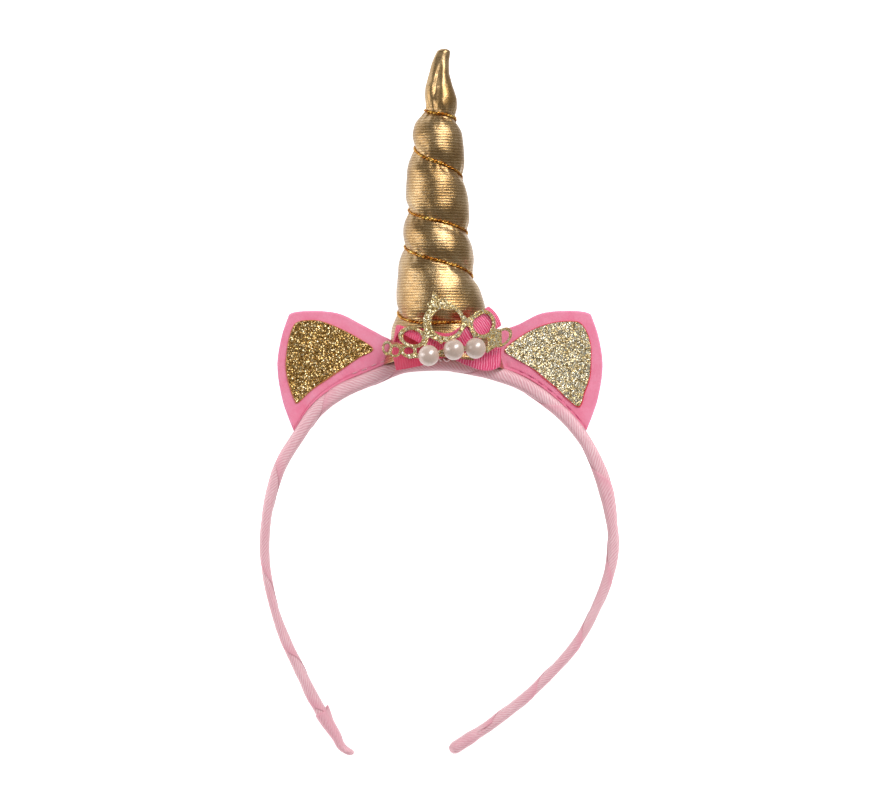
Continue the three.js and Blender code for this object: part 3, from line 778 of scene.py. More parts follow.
dress(band_core(), SATIN, "band_ribbon", "headband")
strip, ribbon_long, ribbon_wide = wound_ribbon()
left_end = band_end("left_end", 17.5, -0.2, 0.08, 0.12, hook=1.3, loose=0.74)
right_end = band_end("right_end", BAND_LONG - 14, BAND_LONG + 0.5, 0.2, 0.02)
ribbon = dress(joined("band_ribbon", [strip, left_end, right_end]), SATIN, "band_ribbon", "headband")

# Ears
# Outlines as shares of the ear's width outwards and of its height upwards, from the foot's inner
# end over the top to its outer end.
EAR_EDGE = (
    (0.228, 0.89), (0.403, 0.971), (0.55, 0.997), (0.697, 1.002), (0.82, 0.995), (0.885, 0.976),
    (0.908, 0.936), (0.96, 0.795), (0.998, 0.61), (0.995, 0.455), (0.955, 0.26), (0.905, 0.124),
    (0.85, 0),
)
# The inner corner, which differs from ear to ear: the left one and then the right one.
EAR_CORNERS = {
    -1: ((-0.03, 0.62), (-0.06, 0.74), (0.045, 0.8)), 1: ((0.02, 0.62), (0, 0.74), (0.055, 0.828)),
}
INSERT_LEFT = (
    (0.121, 0.681), (0.291, 0.788), (0.449, 0.859), (0.592, 0.908), (0.7, 0.918), (0.81, 0.903),
    (0.86, 0.845), (0.9, 0.708), (0.914, 0.543), (0.886, 0.4), (0.835, 0.27), (0.8, 0.247),
    (0.671, 0.357), (0.529, 0.451), (0.37, 0.54), (0.252, 0.609),
)
INSERT_RIGHT = (
    (0.103, 0.679), (0.271, 0.798), (0.42, 0.864), (0.57, 0.901), (0.713, 0.909), (0.785, 0.896),
    (0.844, 0.83), (0.885, 0.708), (0.885, 0.552), (0.868, 0.435), (0.826, 0.328), (0.778, 0.211),
    (0.67, 0.274), (0.57, 0.368), (0.46, 0.45), (0.36, 0.52), (0.182, 0.61),
)
EAR_INSIDE = HORN_FOOT / 2 - EAR_TUCK


def ear_spots(side, rows):
    rows = np.array(rows)
    foot = seat_height(side * (EAR_INSIDE + EAR_EDGE[-1][0] * EAR_WIDE)) + GAP
    return np.stack((side * (EAR_INSIDE + rows[:, 0] * EAR_WIDE), foot + rows[:, 1] * EAR_TALL), 1)


def ear_depth(x):
    out = np.maximum(0, (np.abs(x) - EAR_INSIDE) / EAR_WIDE)
    return EAR_LIFT - EAR_SWEEP * out**SWEEP_BEND


def area_of(outline):
    x, y = outline[:, 0], outline[:, 1]
    return float(abs(np.dot(x, np.roll(y, -1)) - np.dot(y, np.roll(x, -1))) / 2) * MM * MM


def smooth_loop(points, count):
    """A closed outline with that many points, even along it."""
    line = np.vstack((points[-2:], points, points[:3]))
    shares = np.linspace(0, 1, 4000)
    low, high = (2 / (len(line) - 1)), (len(points) + 2) / (len(line) - 1)
    inside = spline(line, shares)[(shares >= low) & (shares < high)]
    far = run_of(inside)
    even = np.linspace(0, far[-1], count, endpoint=False)
    return np.stack((np.interp(even, far, inside[:, 0]), np.interp(even, far, inside[:, 1])), 1)


FELT_RINGS = (0.94, 0.965, 0.982, 0.994, 1)  # the last rings of a felt face, up to its cut edge
FELT_ROUND = 0.035  # how much of its size is rounded at the edge
FOOT_SUNK = 0.25  # how far its foot presses into the ribbon
FOOT_BEND = 5  # how far up the foot's bend onto the band reaches
FOOT_BACK = 0.25  # and how far back the foot goes
CREASE_UP = 1.0  # how far up the stitched crease lies
CREASE_WIDE = 0.24
CREASE_DEEP = 0.3
CUT_LILAC = 0.8  # how much of the cut edge's own colour shows


def ear_felt(name, side, seed):
    """A felt ear: two faces and a rounded cut edge, bent onto the band and creased by its seam."""
    top = spline(ear_spots(side, EAR_CORNERS[side] + EAR_EDGE), np.linspace(0, 1, 150))
    foot_x = np.linspace(top[-1, 0], top[0, 0], 90)[1:-1]
    outline = np.vstack((top, np.stack((foot_x, seat_height(foot_x) - FOOT_SUNK), 1)))
    centre = outline.mean(0)
    front = np.concatenate(([0.02], np.linspace(0.08, 0.92, 29), FELT_RINGS))
    size = np.concatenate((front, front[::-1]))
    near = np.sqrt(np.clip(1 - ((size - 1 + FELT_ROUND).clip(0) / FELT_ROUND) ** 2, 0, 1))
    face = np.where(np.arange(len(size)) < len(front), 1, -1)
    level = face * FELT_THICK / 2 * (0.25 + 0.75 * near)
    flat = centre + (outline - centre)[None] * size[:, None, None]
    above = flat[..., 1] - seat_height(flat[..., 0])
    bent = -FOOT_BACK * (1 - ease(above / FOOT_BEND))
    seam = bell(above, CREASE_UP, CREASE_WIDE)
    depth = ear_depth(flat[..., 0]) + bent + level[:, None]
    points = at_depth(flat, depth - CREASE_DEEP * seam * (face > 0)[:, None])
    points[..., 2] += ripple(points, 0.9, seed) * 0.06 + ripple(points, 5.0, seed + 2) * 0.16
    points[..., :2] += unit(outline - centre) * (ripple(points, 1.1, seed + 5) * 0.05)[..., None]
    cut = CUT_LILAC * ease((size - 0.972) / 0.028)[:, None] * ease((above - 1.5) / 2)
    # The second mark is painted shade in the crease and towards the foot.
    tint = (cut, np.clip(0.5 * seam + 0.1 * ease((CREASE_UP - above) / 0.4), 0, 1))
    uv = np.concatenate((flat, flat[:, :1]), 1)
    felt = web(name, points, uv, around=True, closed=True, tint=tint)
    return felt, area_of(outline), np.ptp(outline, axis=0)


STITCH = 2.1  # long
STITCH_STEP = 3.3
THREAD_THICK = 0.36


def ear_stitches(name, side, first, last, pale):
    """The row of short stitches in the crease, from one place across to another."""
    strokes = []
    share = np.linspace(0, 1, 7)
    bent = -FOOT_BACK * (1 - ease(CREASE_UP / FOOT_BEND))
    for i, x in enumerate(np.arange(first, last, STITCH_STEP)):
        across = side * (x + share * STITCH)
        up = seat_height(across) + GAP + CREASE_UP - 0.1 + 0.12 * math.sin(i * 2.3)
        lift = np.sin(share * math.pi) * 0.45 - 0.4
        depth = ear_depth(across) + bent + FELT_THICK / 2 + lift
        path = np.stack((across, up, depth), 1)
        strokes.append(tube(f"stitch_{i}", path, THREAD_THICK / 2, 6, mark=pale))
    return joined(name, strokes)


GRAIN_PITCH = 0.4
GRAIN_ROW = GRAIN_PITCH * math.sqrt(3) / 2
GRAIN_ASIDE = 0.13  # how far a grain may lie off its place
GRAIN_LIFT = 0.1  # and how far above or below the face
PLATE_THICK = 0.55
PLATE_SUNK = 0.15
PLATE_EDGE = 0.3  # how far its bare edge shows round it
PLATE_RIM = 0.28  # how high that edge is


def within(outline, spots):
    """Which of the spots lie inside a closed outline."""
    inside = np.zeros(len(spots), bool)
    for a, b in zip(outline, np.roll(outline, -1, 0)):
        crosses = (a[1] > spots[:, 1]) != (b[1] > spots[:, 1])
        with np.errstate(divide="ignore", invalid="ignore"):
            where = a[0] + (spots[:, 1] - a[1]) * (b[0] - a[0]) / (b[1] - a[1])
        inside ^= crosses & (spots[:, 0] < where)
    return inside


def ear_glitter(name, side, rows, seed):
    """Glitter sheet: a plate whose face is broken into small leaning facets, one to a grain."""
    outline = smooth_loop(ear_spots(side, rows), 190)
    low, high = outline.min(0), outline.max(0)
    draw = random.Random(seed)
    spots = []
    for i in range(1, int((high[1] - low[1]) / GRAIN_ROW)):
        for j in range(int((high[0] - low[0]) / GRAIN_PITCH) + 1):
            x = low[0] + (j + 0.5 * (i % 2)) * GRAIN_PITCH + draw.uniform(-GRAIN_ASIDE, GRAIN_ASIDE)
            y = low[1] + i * GRAIN_ROW + draw.uniform(-GRAIN_ASIDE, GRAIN_ASIDE)
            spots.append((x, y))
    spots = np.array(spots)
    gap = np.array([np.linalg.norm(outline - s, axis=1).min() for s in spots])
    spots = spots[within(outline, spots) & (gap > 0.3)]
    flat = [Vector(p) for p in np.vstack((outline, spots))]
    n = len(outline)
    ring = [(i, (i + 1) % n) for i in range(n)]
    flat, _, faces, *_ = geometry.delaunay_2d_cdt(flat, ring, [], 1, 1e-5)
    flat = np.array([tuple(p) for p in flat])
    count = len(flat)
    bounce = np.array([draw.uniform(-GRAIN_LIFT, GRAIN_LIFT) for _ in range(count)])
    top = np.column_stack((flat, ear_depth(flat[:, 0]) + FELT_THICK / 2 + PLATE_THICK + bounce))
    middle = outline.mean(0)
    away = unit(outline - middle)
    # The bare edge shows wider along the lower side, as a painted shadow line under the plate.
    wider = outline + away * (PLATE_EDGE + 0.45 * np.clip(-away[:, 1:], 0, 1))
    base = ear_depth(wider[:, 0]) + FELT_THICK / 2
    rim = np.column_stack((wider, base + PLATE_RIM))
    under = np.column_stack((wider, base - PLATE_SUNK))
    centre = (*middle, ear_depth(middle[0]) + FELT_THICK / 2 - PLATE_SUNK)
    points = np.vstack((top, rim, under, centre))
    order = [int(np.argmin(np.linalg.norm(flat - spot, axis=1))) for spot in outline]
    faces = [list(f) for f in faces]
    for i, j in ring:
        faces.append([order[j], order[i], count + i, count + j])
        faces.append([count + j, count + i, count + n + i, count + n + j])
        faces.append([count + n + j, count + n + i, count + 2 * n])
    tint = np.zeros((len(points), 2))
    # The rim and the underside carry the first mark: the bare edge, partly painted shadow.
    tint[count:, 0] = 1
    uv = np.array([tuple(points[v][:2]) for f in faces for v in f])
    plate = outwards(new_piece(name, points, faces, uv, smooth=False, tint=tint))
    return plate, area_of(outline), np.ptp(outline, axis=0)


EARS = (
    ("left", -1, INSERT_LEFT, GLITTER_SHADED, 11, 5, (18.8, 29.5, 0.6)),
    ("right", 1, INSERT_RIGHT, GLITTER_LIT, 23, 7, (27.5, 48.5, 0)),
)
for name, side, rows, shine, felt_seed, grain_seed, stitches in EARS:
    felt, felt_area, felt_size = ear_felt(f"{name}_ear", side, felt_seed)
    dress(felt, FELT, "felt", f"{name}_ear_felt")
    plate, plate_area, plate_size = ear_glitter(f"{name}_ear_sparkle", side, rows, grain_seed)
    dress(plate, shine, "glitter", f"{name}_ear_glitter")
    dress(ear_stitches(f"{name}_ear_stitches", side, *stitches), THREAD, "felt")

# Horn
# Height, half the width and the sideways place of the middle, from foot to tip, as shares of the
# horn's height and of half the foot's width.
HORN_FORM = (
    (0, 1.07, 0.068), (0.03, 1.03, 0.066), (0.076, 0.945, 0.055), (0.15, 0.86, 0.02), (0.2, 0.79, 0),
    (0.272, 0.715, -0.05), (0.31, 0.69, -0.06), (0.386, 0.64, -0.06), (0.462, 0.595, -0.05),
    (0.538, 0.565, -0.06), (0.614, 0.53, -0.065), (0.69, 0.485, -0.05), (0.728, 0.46, -0.05),
    (0.766, 0.415, -0.045), (0.804, 0.345, 0), (0.842, 0.3, 0.01), (0.88, 0.255, -0.02),
    (0.918, 0.185, -0.015), (0.956, 0.15, 0.01), (0.985, 0.125, 0.05), (1, 0.1, 0.07),
)
# The cord's height at each half turn, right side and left side in turn, from the top down.
CORD_HALF_TURNS = (0.812, 0.804, 0.778, 0.684, 0.59, 0.487, 0.415, 0.373, 0.279, 0.163, 0.139, 0.1)
CORD_START = 0.5
CORD_END = 10.5
CORD_SWING = -0.1
FOOT_ROW = 9  # the half turn at the foot, which drops quickly and then runs level
FOOT_DIP = 0.032
FOOT_BLEND = 0.15
FOOT_PRESS = 0.5  # how far its foot is pressed onto the ribbon
ROUND_FROM = 0.3
SLIMMEST = 0.4
CREASE = 0.5  # how deep the cord cuts in, below the wide pull of its groove
CREASE_REACH = 0.75


def cord_height(half_turns):
    row = np.clip(np.floor(half_turns), 0, len(CORD_HALF_TURNS) - 2).astype(int)
    along = half_turns - row
    swing = (1 - np.cos(math.pi * along)) / 2
    heights = np.array(CORD_HALF_TURNS)
    dip = FOOT_DIP * np.sin(math.pi * along) * (1.25 - along) * (row == FOOT_ROW)
    return mix(heights[row], heights[row + 1], mix(along, swing, CORD_SWING)) - dip


def cord_pull(angle, height):
    """How near the cord is, as the pull of its groove and of its crease, and the way along it."""
    pull, cut, nearest, along = (np.zeros(np.broadcast(angle, height).shape) for _ in range(4))
    nearest += 1e9
    for turn in range(7):
        half_turns = 2 * turn - angle / math.pi
        held = (half_turns >= CORD_START) & (half_turns <= CORD_END)
        off = (height - cord_height(np.clip(half_turns, 0, 11))) * HORN_TALL
        closer = held & (np.abs(off) < np.abs(nearest))
        nearest = np.where(closer, off, nearest)
        along = np.where(closer, half_turns + 0 * off, along)
        pull = np.maximum(pull, np.where(held, bell(off, 0, GROOVE_REACH), 0))
        cut = np.maximum(cut, np.where(held, bell(off, 0, CREASE_REACH), 0))
    return pull, cut, nearest, along


# Small folds near the tip: depth, place round the horn and width, place up the horn and height.
TIP_CREASES = ((0.35, 0.82, 0.3, 0.9, 0.025), (0.25, 0.62, 0.35, 0.965, 0.03))
TIP_FOLD_UP = 0.875
PUCKER_REACH = 3.2
# Puckers beside the cord: depth, waves, how much and how quickly they stray, and slant.
PUCKERS = ((0.26, 31, 3, 5.1, 0.9), (0.12, 71, 2, 9.7, 0))


def horn_point(angle, height, size=1.0, outside=0.0):
    """A point of the horn's cloth, at an angle from the right and a share of its height."""
    form = np.array(HORN_FORM)
    half = HORN_FOOT / 2 * np.interp(height, form[:, 0], form[:, 1])
    lean = HORN_FOOT / 2 * np.interp(height, form[:, 0], form[:, 2])
    pull, cut, off, along = cord_pull(angle, height)
    sideways = (angle - math.pi * (0.58 - 1.3 * (height - TIP_FOLD_UP))) / 0.32
    upwards = (height - TIP_FOLD_UP) / 0.06
    inward = GROOVE_DEPTH * pull + TIP_FOLD * np.exp(-(sideways**2) - upwards**2)
    for deep, turn, wide, up, tall in TIP_CREASES:
        fold = ((angle - math.pi * turn) / wide) ** 2 + ((height - up) / tall) ** 2
        inward = inward + deep * np.exp(-fold)
    inward = inward + CREASE * cut
    pucker = bell(off, 0, PUCKER_REACH) * (1 - 0.8 * cut)
    for deep, waves, stray, quick, slant in PUCKERS:
        wave = np.sin(along * waves + stray * np.sin(along * quick) + off * slant)
        inward = inward + pucker * deep * wave
    radius = np.maximum(half - inward, half * SLIMMEST) * size + outside
    deep = mix(HORN_FLAT, 1, ease(height / ROUND_FROM))
    x = lean + radius * np.cos(angle)
    foot = (seat_height(x) + GAP - FOOT_PRESS) * (1 - ease(height / FOOT_BLEND))
    return np.stack((x, foot + height * HORN_TALL, radius * deep * np.sin(angle)), -1)


HORN_AROUND = 96
HORN_UP = 240
SWELL_ROOM = 0.35  # how much slimmer the horn starts, for its stuffing to swell it
SWELL_MOST = 0.7  # the most that a point may move
SWELL_SCALE = 10  # the cloth is worked out at ten times its size
SWELL_FRAMES = 20
SWELL_PRESSURE = 4
CLOTH_MASS = 0.3
CLOTH_QUALITY = 6


def swollen(horn, held):
    """The stuffing pushes the cloth out between the turns of the cord that holds it."""
    mesh = horn.data
    start = np.zeros(len(mesh.vertices) * 3, np.float32)
    mesh.vertices.foreach_get("co", start)
    mesh.vertices.foreach_set("co", start * SWELL_SCALE)
    pins = horn.vertex_groups.new(name="held")
    for i, weight in enumerate(held):
        pins.add([i], float(weight), "REPLACE")
    cloth = horn.modifiers.new("Cloth", "CLOTH")
    cloth.settings.quality = CLOTH_QUALITY
    cloth.settings.mass = CLOTH_MASS
    cloth.settings.vertex_group_mass = "held"
    cloth.settings.use_pressure = True
    cloth.settings.uniform_pressure_force = SWELL_PRESSURE
    cloth.settings.effector_weights.gravity = 0
    cloth.point_cache.frame_start, cloth.point_cache.frame_end = 1, SWELL_FRAMES
    for frame_number in range(1, SWELL_FRAMES + 1):
        bpy.context.scene.frame_set(frame_number)
    swelled = horn.evaluated_get(bpy.context.evaluated_depsgraph_get()).data
    end = np.zeros(len(start), np.float32)
    swelled.vertices.foreach_get("co", end)
    move = (end / SWELL_SCALE - start).reshape(-1, 3) / MM
    far = np.linalg.norm(move, axis=1)[:, None]
    move *= SWELL_MOST * np.tanh(far / SWELL_MOST) / np.maximum(far, 1e-6)
    horn.modifiers.remove(cloth)
    horn.vertex_groups.remove(pins)
    mesh.vertices.foreach_set("co", start + (move * MM).ravel())
    mesh.update()
    bpy.context.scene.frame_set(1)


def away_from_axis(angle):
    return np.stack((np.cos(angle), 0 * angle, np.sin(angle)), -1)


def stuffed_horn():
    """The horn's cloth, closed at its foot and its tip and swollen where no cord holds it."""
    height = np.concatenate((np.zeros(5), np.linspace(0, 0.992, HORN_UP), (0.996, 0.999)))
    size = np.concatenate((np.linspace(0.15, 0.97, 5), np.ones(HORN_UP), (0.75, 0.35)))
    angles, heights = np.meshgrid(full_turn(HORN_AROUND), height)
    _, cut, _, _ = cord_pull(angles, heights)
    held = np.clip(cut * 1.6, 0, 1) + ease((0.05 - heights) / 0.04) + ease((heights - 0.85) / 0.07)
    held = np.clip(held, 0, 1)
    room = SWELL_ROOM * (1 - held)
    points = horn_point(angles, heights, size[:, None], -room)
    slack = 0.25 + 0.75 * (heights > 0.02)
    rumple = ripple(points, 5.0, 31) * 0.22 * slack
    points += rumple[..., None] * away_from_axis(angles)
    rumple = ripple(points, 3, 37) * 0.14 * ease((heights - 0.79) / 0.05)  # of the tip alone
    points += rumple[..., None] * away_from_axis(angles)
    girth = np.linspace(0, 2 * math.pi, HORN_AROUND + 1) * HORN_FOOT / 2 * 0.6
    uv = grid(girth, height * HORN_TALL)
    drawn = ease((heights - 0.8) / 0.02)  # smooth, above the last turn of the cord
    horn = web("stuffed_horn", points, uv, around=True, closed=True, tint=(drawn, 0))
    swollen(horn, np.append(held.ravel(), (1, 1)))
    smoothed(horn)
    for vertex in horn.data.vertices:
        vertex.co.z = max(vertex.co.z, 0)  # pressed flat where it lies on the floor
    return horn


STRAND = 0.29
STRAND_OFF = 0.22
CORD_LAY = 3.2  # how far along the cord its strands take to turn once
CORD_OFF = 0.42  # from the cloth to the cord's middle


def twisted_cord():
    """Two strands laid round each other, along the groove."""
    half_turns = np.linspace(CORD_START, CORD_END, 1800)
    angle = np.mod(2 - half_turns, 2) * math.pi
    middle = horn_point(angle, cord_height(half_turns), 1, CORD_OFF)
    forward = unit(np.gradient(middle, axis=0))
    side = unit(np.cross(forward, away_from_axis(angle)))
    up = np.cross(side, forward)
    strands = []
    for i in range(2):
        twist = run_of(middle) * 2 * math.pi / CORD_LAY + i * math.pi
        path = middle + STRAND_OFF * (side * np.cos(twist)[:, None] + up * np.sin(twist)[:, None])
        strands.append(tube(f"strand_{i}", path, STRAND, 8))
    return joined("metallic_cord", strands)


horn = stuffed_horn()
dress(horn, LAME, "lame", "horn")
dress(twisted_cord(), CORD_METAL, "metallic_cord", "horn_cord")

# Bow
GROUND_TOP = HORN_FOOT / 2 * HORN_FLAT + 2 * GAP
GROUND_LEAN = 0.13
GROUND_CURVE = 0.36 / (HORN_FOOT / 2)


def ground(x, y):
    return GROUND_TOP - GROUND_LEAN * y - GROUND_CURVE * x * x


# Middle lines of the ribbons, as shares of half the horn's foot, and their width.
BOW_LOOPS = (
    (-0.78, 0.53, 0.75), (-0.36, 0.46, 0.9), (0.15, 0.37, 0.8), (0.53, 0.54, 0.95), (0.95, 0.83, 1.02),
)
BOW_TAILS = (
    (-0.81, 0.08, 1), (-0.4, 0.13, 0.9), (0.1, 0.22, 0.6), (0.55, 0.12, 0.8), (1.06, 0.085, 0.98),
)
CLOTH = 0.4  # a ribbon's own thickness
LOOP_BACK = RIBBON_THICK + GAP


def ribbon_line(rows, share):
    rows = np.array(rows) * (HORN_FOOT / 2, HORN_FOOT / 2, RIBBON_WIDE)
    spot, _, upward = line_frame(rows, share, 1e-3)
    return spot[..., :2], upward, spot[..., 2]


def ribbon_band(name, points, far, across, tint):
    """A ribbon of even thickness; places that meet become one."""
    ribbon = web(name, points, grid(across * RIBBON_WIDE, far), tint=tint)
    modify(ribbon, "WELD", merge_threshold=0.01 * MM)
    modify(ribbon, "SOLIDIFY", thickness=CLOTH * MM, offset=0)
    return smoothed(ribbon)


def bow_tails():
    """One flat ribbon whose cut ends are the bow's tails, gathered in its middle."""
    share = np.linspace(0, 1, 150)
    across = np.linspace(-0.5, 0.5, 15)
    middle, upward, wide = ribbon_line(BOW_TAILS, share)
    spot = middle[:, None] + upward[:, None] * (across * wide[:, None])[..., None]
    spot[..., 0] -= 0.12 * (1 - ease(share / 0.2))[:, None] * across * wide[:, None]  # cut aslant
    rounded = ease((share - 0.9) / 0.1)[:, None] * ease((-across - 0.3) / 0.2)
    sag = bell(share, 0.84, 0.09)[:, None] * ease(-across * 2)
    spot[..., 1] += rounded * 1.1 - sag * 0.9
    pinch = bell(share, 0.52, 0.14)
    fold = pinch[:, None] * 0.35 * np.cos(across * 3.5 * 2 * math.pi)
    curl = 1.6 * np.abs(share - 0.5)[:, None] ** 2 * (1 - (across * 2) ** 2)
    wave = 0.18 * np.sin(share * 19)[:, None] * across
    depth = ground(spot[..., 0], spot[..., 1]) + 0.5 + fold + curl + wave - rounded * 0.4
    far = run_of(middle)
    left = 1 - ease((share - 0.3) / 0.25)
    # The first mark is painted shade where the middle is gathered; the second the left tail's smoother
    # magenta.
    tint = (0.55 * pinch[:, None], 0.85 * left[:, None])
    return ribbon_band("bow_tail_ribbon", at_depth(spot, depth), far, across, tint), far[-1]


def bow_loops():
    """One closed ribbon, pinched where its two loops meet; the left loop opens to the front."""
    turn = full_turn(360)
    across = np.linspace(-0.5, 0.5, 13)
    along = np.cos(turn)
    half = mix(0.5 * CLOTH + 0.1, LOOP_PUFF, ease(np.abs(along) * 2))
    middle, upward, wide = ribbon_line(BOW_LOOPS, 0.5 + along / 2)
    bulge = np.sign(np.sin(turn)) * np.abs(np.sin(turn)) ** 0.6
    front, left = ease(0.5 + bulge / 2), ease(-along * 1.6)
    opened = (left * front * ease((1 + along) / 0.12))[:, None]
    raised = (0.33 - 0.38 * ease((1 + along) / 0.56))[:, None]
    place = across * (1 - 0.62 * opened) + raised * opened - 0.06 * (left * (1 - front))[:, None]
    spot = middle[:, None] + upward[:, None] * (place * wide[:, None])[..., None]
    forward = np.stack((upward[:, 1], -upward[:, 0]), -1)
    puffed = 0.85 * ease((along - 0.5) / 0.5)[:, None] * (1 - (across * 2) ** 2)
    spot = spot + forward[:, None] * puffed[..., None]
    fold = bell(along, 0, 0.25)[:, None] * 0.3 * np.cos(across * 3 * 2 * math.pi)
    tilt = opened * (0.5 - across) * 0.8
    crown = 0.5 * ease(np.abs(along) * 2)[:, None] * front[:, None] * (1 - (across * 2) ** 2)
    lift = (half * (1 + bulge))[:, None] + fold + tilt + crown
    depth = ground(spot[..., 0], spot[..., 1]) + LOOP_BACK + 0.5 + lift
    points = at_depth(spot, depth)
    ring = np.concatenate((points, points[:1]), 0)
    far = run_of(ring[:, 6])
    # Painted shade: darker red on the inner face of the left loop's back layer, and where the loops
    # are pinched together.
    inside = left * (1 - ease((bulge + 0.9) / 0.6)) * ease((along + 0.88) / 0.12)
    pinched = 0.5 * bell(along, -0.12, 0.12)
    shade, blush = (np.append(mark, mark[0])[:, None] for mark in (inside + pinched, left * 0.5))
    tint = (np.clip(shade, 0, 1), blush)
    return ribbon_band("bow_loop_ribbon", ring, far, across, tint), far[-1]


tails, tails_long = bow_tails()
dress(tails, GROSGRAIN, "bow_ribbon", "bow_tails")
loops, loops_long = bow_loops()
dress(loops, GROSGRAIN, "bow_ribbon", "bow_loops")

# Tiara
# Loops: across, up, half wide, half tall and limb, in ring radii from the ring's middle, then
# turn, and how far the opening lies off the middle.
TIARA_LOOPS = (
    (-0.12, -0.1, 1.19, 1.12, 0.34, 0, 0.13), (-1.88, -0.93, 0.82, 0.59, 0.24, -15, 0),
    (2.06, -0.18, 0.74, 0.82, 0.22, -10, 0), (-3.31, -1.53, 0.3, 0.42, 0.16, 0, 0),
    (-2.86, -1.68, 0.35, 0.38, 0.14, 0, 0), (-2.1, -1.7, 0.47, 0.38, 0.19, 0, 0),
    (3.17, -0.92, 0.68, 0.44, 0.18, 45, 0),
)
# Limbs: from across, up, to across, up, and width.
TIARA_LIMBS = (
    (0.98, 0.18, 1.41, -0.36, 0.24), (1.41, -0.36, 1.62, -0.87, 0.24),
    (0.63, -0.87, 1.21, 0.02, 0.24), (1.21, 0.02, 2.16, 0.58, 0.24),
    (-1.02, -0.55, -1.02, -0.85, 0.46), (-0.77, -0.8, -0.23, -1.18, 0.27),
    (-1.04, -0.67, -1.18, -1.38, 0.2), (2.83, -0.6, 2.83, -1.2, 0.62),
    (2.5, -0.75, 2.55, -1.3, 0.4), (2.28, -1.7, 2.79, -1.33, 0.24),
    (-2.1, -2.0, -0.6, -1.9, 0.26), (-0.7, -1.9, 0.6, -1.55, 0.3), (0.5, -1.55, 2.35, -1.6, 0.3),
)
CROWN = (
    (-1.08, 0.98), (-0.85, 1.06), (-0.74, 1.66), (-0.48, 1.43), (-0.37, 1.15), (-0.09, 1.35),
    (0.06, 1.12), (0.26, 1.04), (0.51, 0.81), (0.34, 0.61), (-0.34, 0.69), (-0.85, 0.44),
)
TIARA_BACK = LOOP_BACK + 2 * LOOP_PUFF + RIBBON_THICK + GAP
LIMB_THICK = 0.9  # as a share of the tiara's thickness
CROWN_THICK = 0.8
TIARA_VOXEL = 0.2
GRAIN_SHAKE = 0.055  # how far a corner of the tiara's facets may lie off its place


def tiara_spot(across, up):
    return RING_ASIDE + across * RING_RADIUS, RING_UP + up * RING_RADIUS


def add_loop(across, up, wide, tall, limb, turn, lean):
    """A flattened ring, made from a torus at its size and place, lying flat at z 0."""
    x, y = tiara_spot(across, up)
    thin = limb / (wide + tall)
    bpy.ops.mesh.primitive_torus_add(
        major_segments=72 if wide > 1 else 40, minor_segments=10,
        major_radius=1 - thin, minor_radius=thin, location=(0, 0, 0),
    )
    ring = bpy.context.object
    ring.scale = (wide * RING_RADIUS * MM, tall * RING_RADIUS * MM, TIARA_THICK / 2 * MM / thin)
    only(ring)
    bpy.ops.object.transform_apply(location=False, rotation=False, scale=True)
    if lean:
        bpy.ops.object.mode_set(mode="EDIT")
        work = bmesh.from_edit_mesh(ring.data)
        for vertex in work.verts:
            reach = math.hypot(vertex.co.x / wide, vertex.co.y / tall) / (RING_RADIUS * MM)
            vertex.select = reach < 1 - thin
        work.select_flush_mode()
        bmesh.update_edit_mesh(ring.data)
        bpy.ops.transform.translate(value=(lean * RING_RADIUS * MM, 0, 0))
        bpy.ops.object.mode_set(mode="OBJECT")
    ring.rotation_euler = (0, 0, math.radians(turn))
    ring.location = (x * MM, y * MM, 0)
    bpy.ops.object.transform_apply()
    return ring


def add_limb(from_across, from_up, to_across, to_up, limb):
    """A strip with rounded edges between two spots, made from a box."""
    a, b = np.array(tiara_spot(from_across, from_up)), np.array(tiara_spot(to_across, to_up))
    long = np.linalg.norm(b - a) + limb * RING_RADIUS * 0.5
    bpy.ops.mesh.primitive_cube_add(size=1, location=(0, 0, 0))
    strip = bpy.context.object
    strip.scale = (long * MM, limb * RING_RADIUS * MM, TIARA_THICK * LIMB_THICK * MM)
    strip.rotation_euler = (0, 0, math.atan2(b[1] - a[1], b[0] - a[0]))
    strip.location = (*((a + b) / 2 * MM), 0)
    only(strip)
    bpy.ops.object.transform_apply()
    return modify(strip, "BEVEL", width=0.3 * MM, segments=3)


def add_crown():
    """The small crown on the ring, made from a filled outline pulled out to its thickness."""
    bpy.ops.mesh.primitive_circle_add(
        vertices=len(CROWN), radius=MM, fill_type="NGON", location=(0, 0, 0)
    )
    crown = bpy.context.object
    for vertex, (across, up) in zip(crown.data.vertices, CROWN):
        x, y = tiara_spot(across, up)
        vertex.co = (x * MM, y * MM, -TIARA_THICK * CROWN_THICK / 2 * MM)
    only(crown)
    bpy.ops.object.mode_set(mode="EDIT")
    bpy.ops.mesh.select_all(action="SELECT")
    pull = (0, 0, TIARA_THICK * CROWN_THICK * MM)
    bpy.ops.mesh.extrude_region_move(TRANSFORM_OT_translate={"value": pull})
    bpy.ops.mesh.select_all(action="SELECT")
    bpy.ops.mesh.normals_make_consistent(inside=False)
    bpy.ops.object.mode_set(mode="OBJECT")
    return crown


def glitter_tiara():
    """The pierced sheet: loops and limbs joined to one skin, then laid over the bow."""
    pieces = [add_loop(*row) for row in TIARA_LOOPS] + [add_limb(*row) for row in TIARA_LIMBS]
    whole = joined("glitter_tiara", pieces + [add_crown()])
    modify(whole, "REMESH", mode="VOXEL", voxel_size=TIARA_VOXEL * MM)
    modify(whole, "DECIMATE", ratio=0.5)
    draw = random.Random(41)
    flat = np.array([v.co[:] for v in whole.data.vertices]) / MM
    flat += np.array([[draw.uniform(-1, 1) for _ in range(3)] for _ in flat]) * GRAIN_SHAKE
    depth = ground(flat[:, 0], flat[:, 1]) + TIARA_BACK + TIARA_THICK / 2 + flat[:, 2]
    lain = placed(np.column_stack((flat[:, :2], depth)))
    whole.data.vertices.foreach_set("co", lain.astype(np.float32).ravel())
    whole.data.polygons.foreach_set("use_smooth", [False] * len(whole.data.polygons))
    whole.data.update()
    return whole


dress(glitter_tiara(), GLITTER_TIARA, "glitter", "tiara")

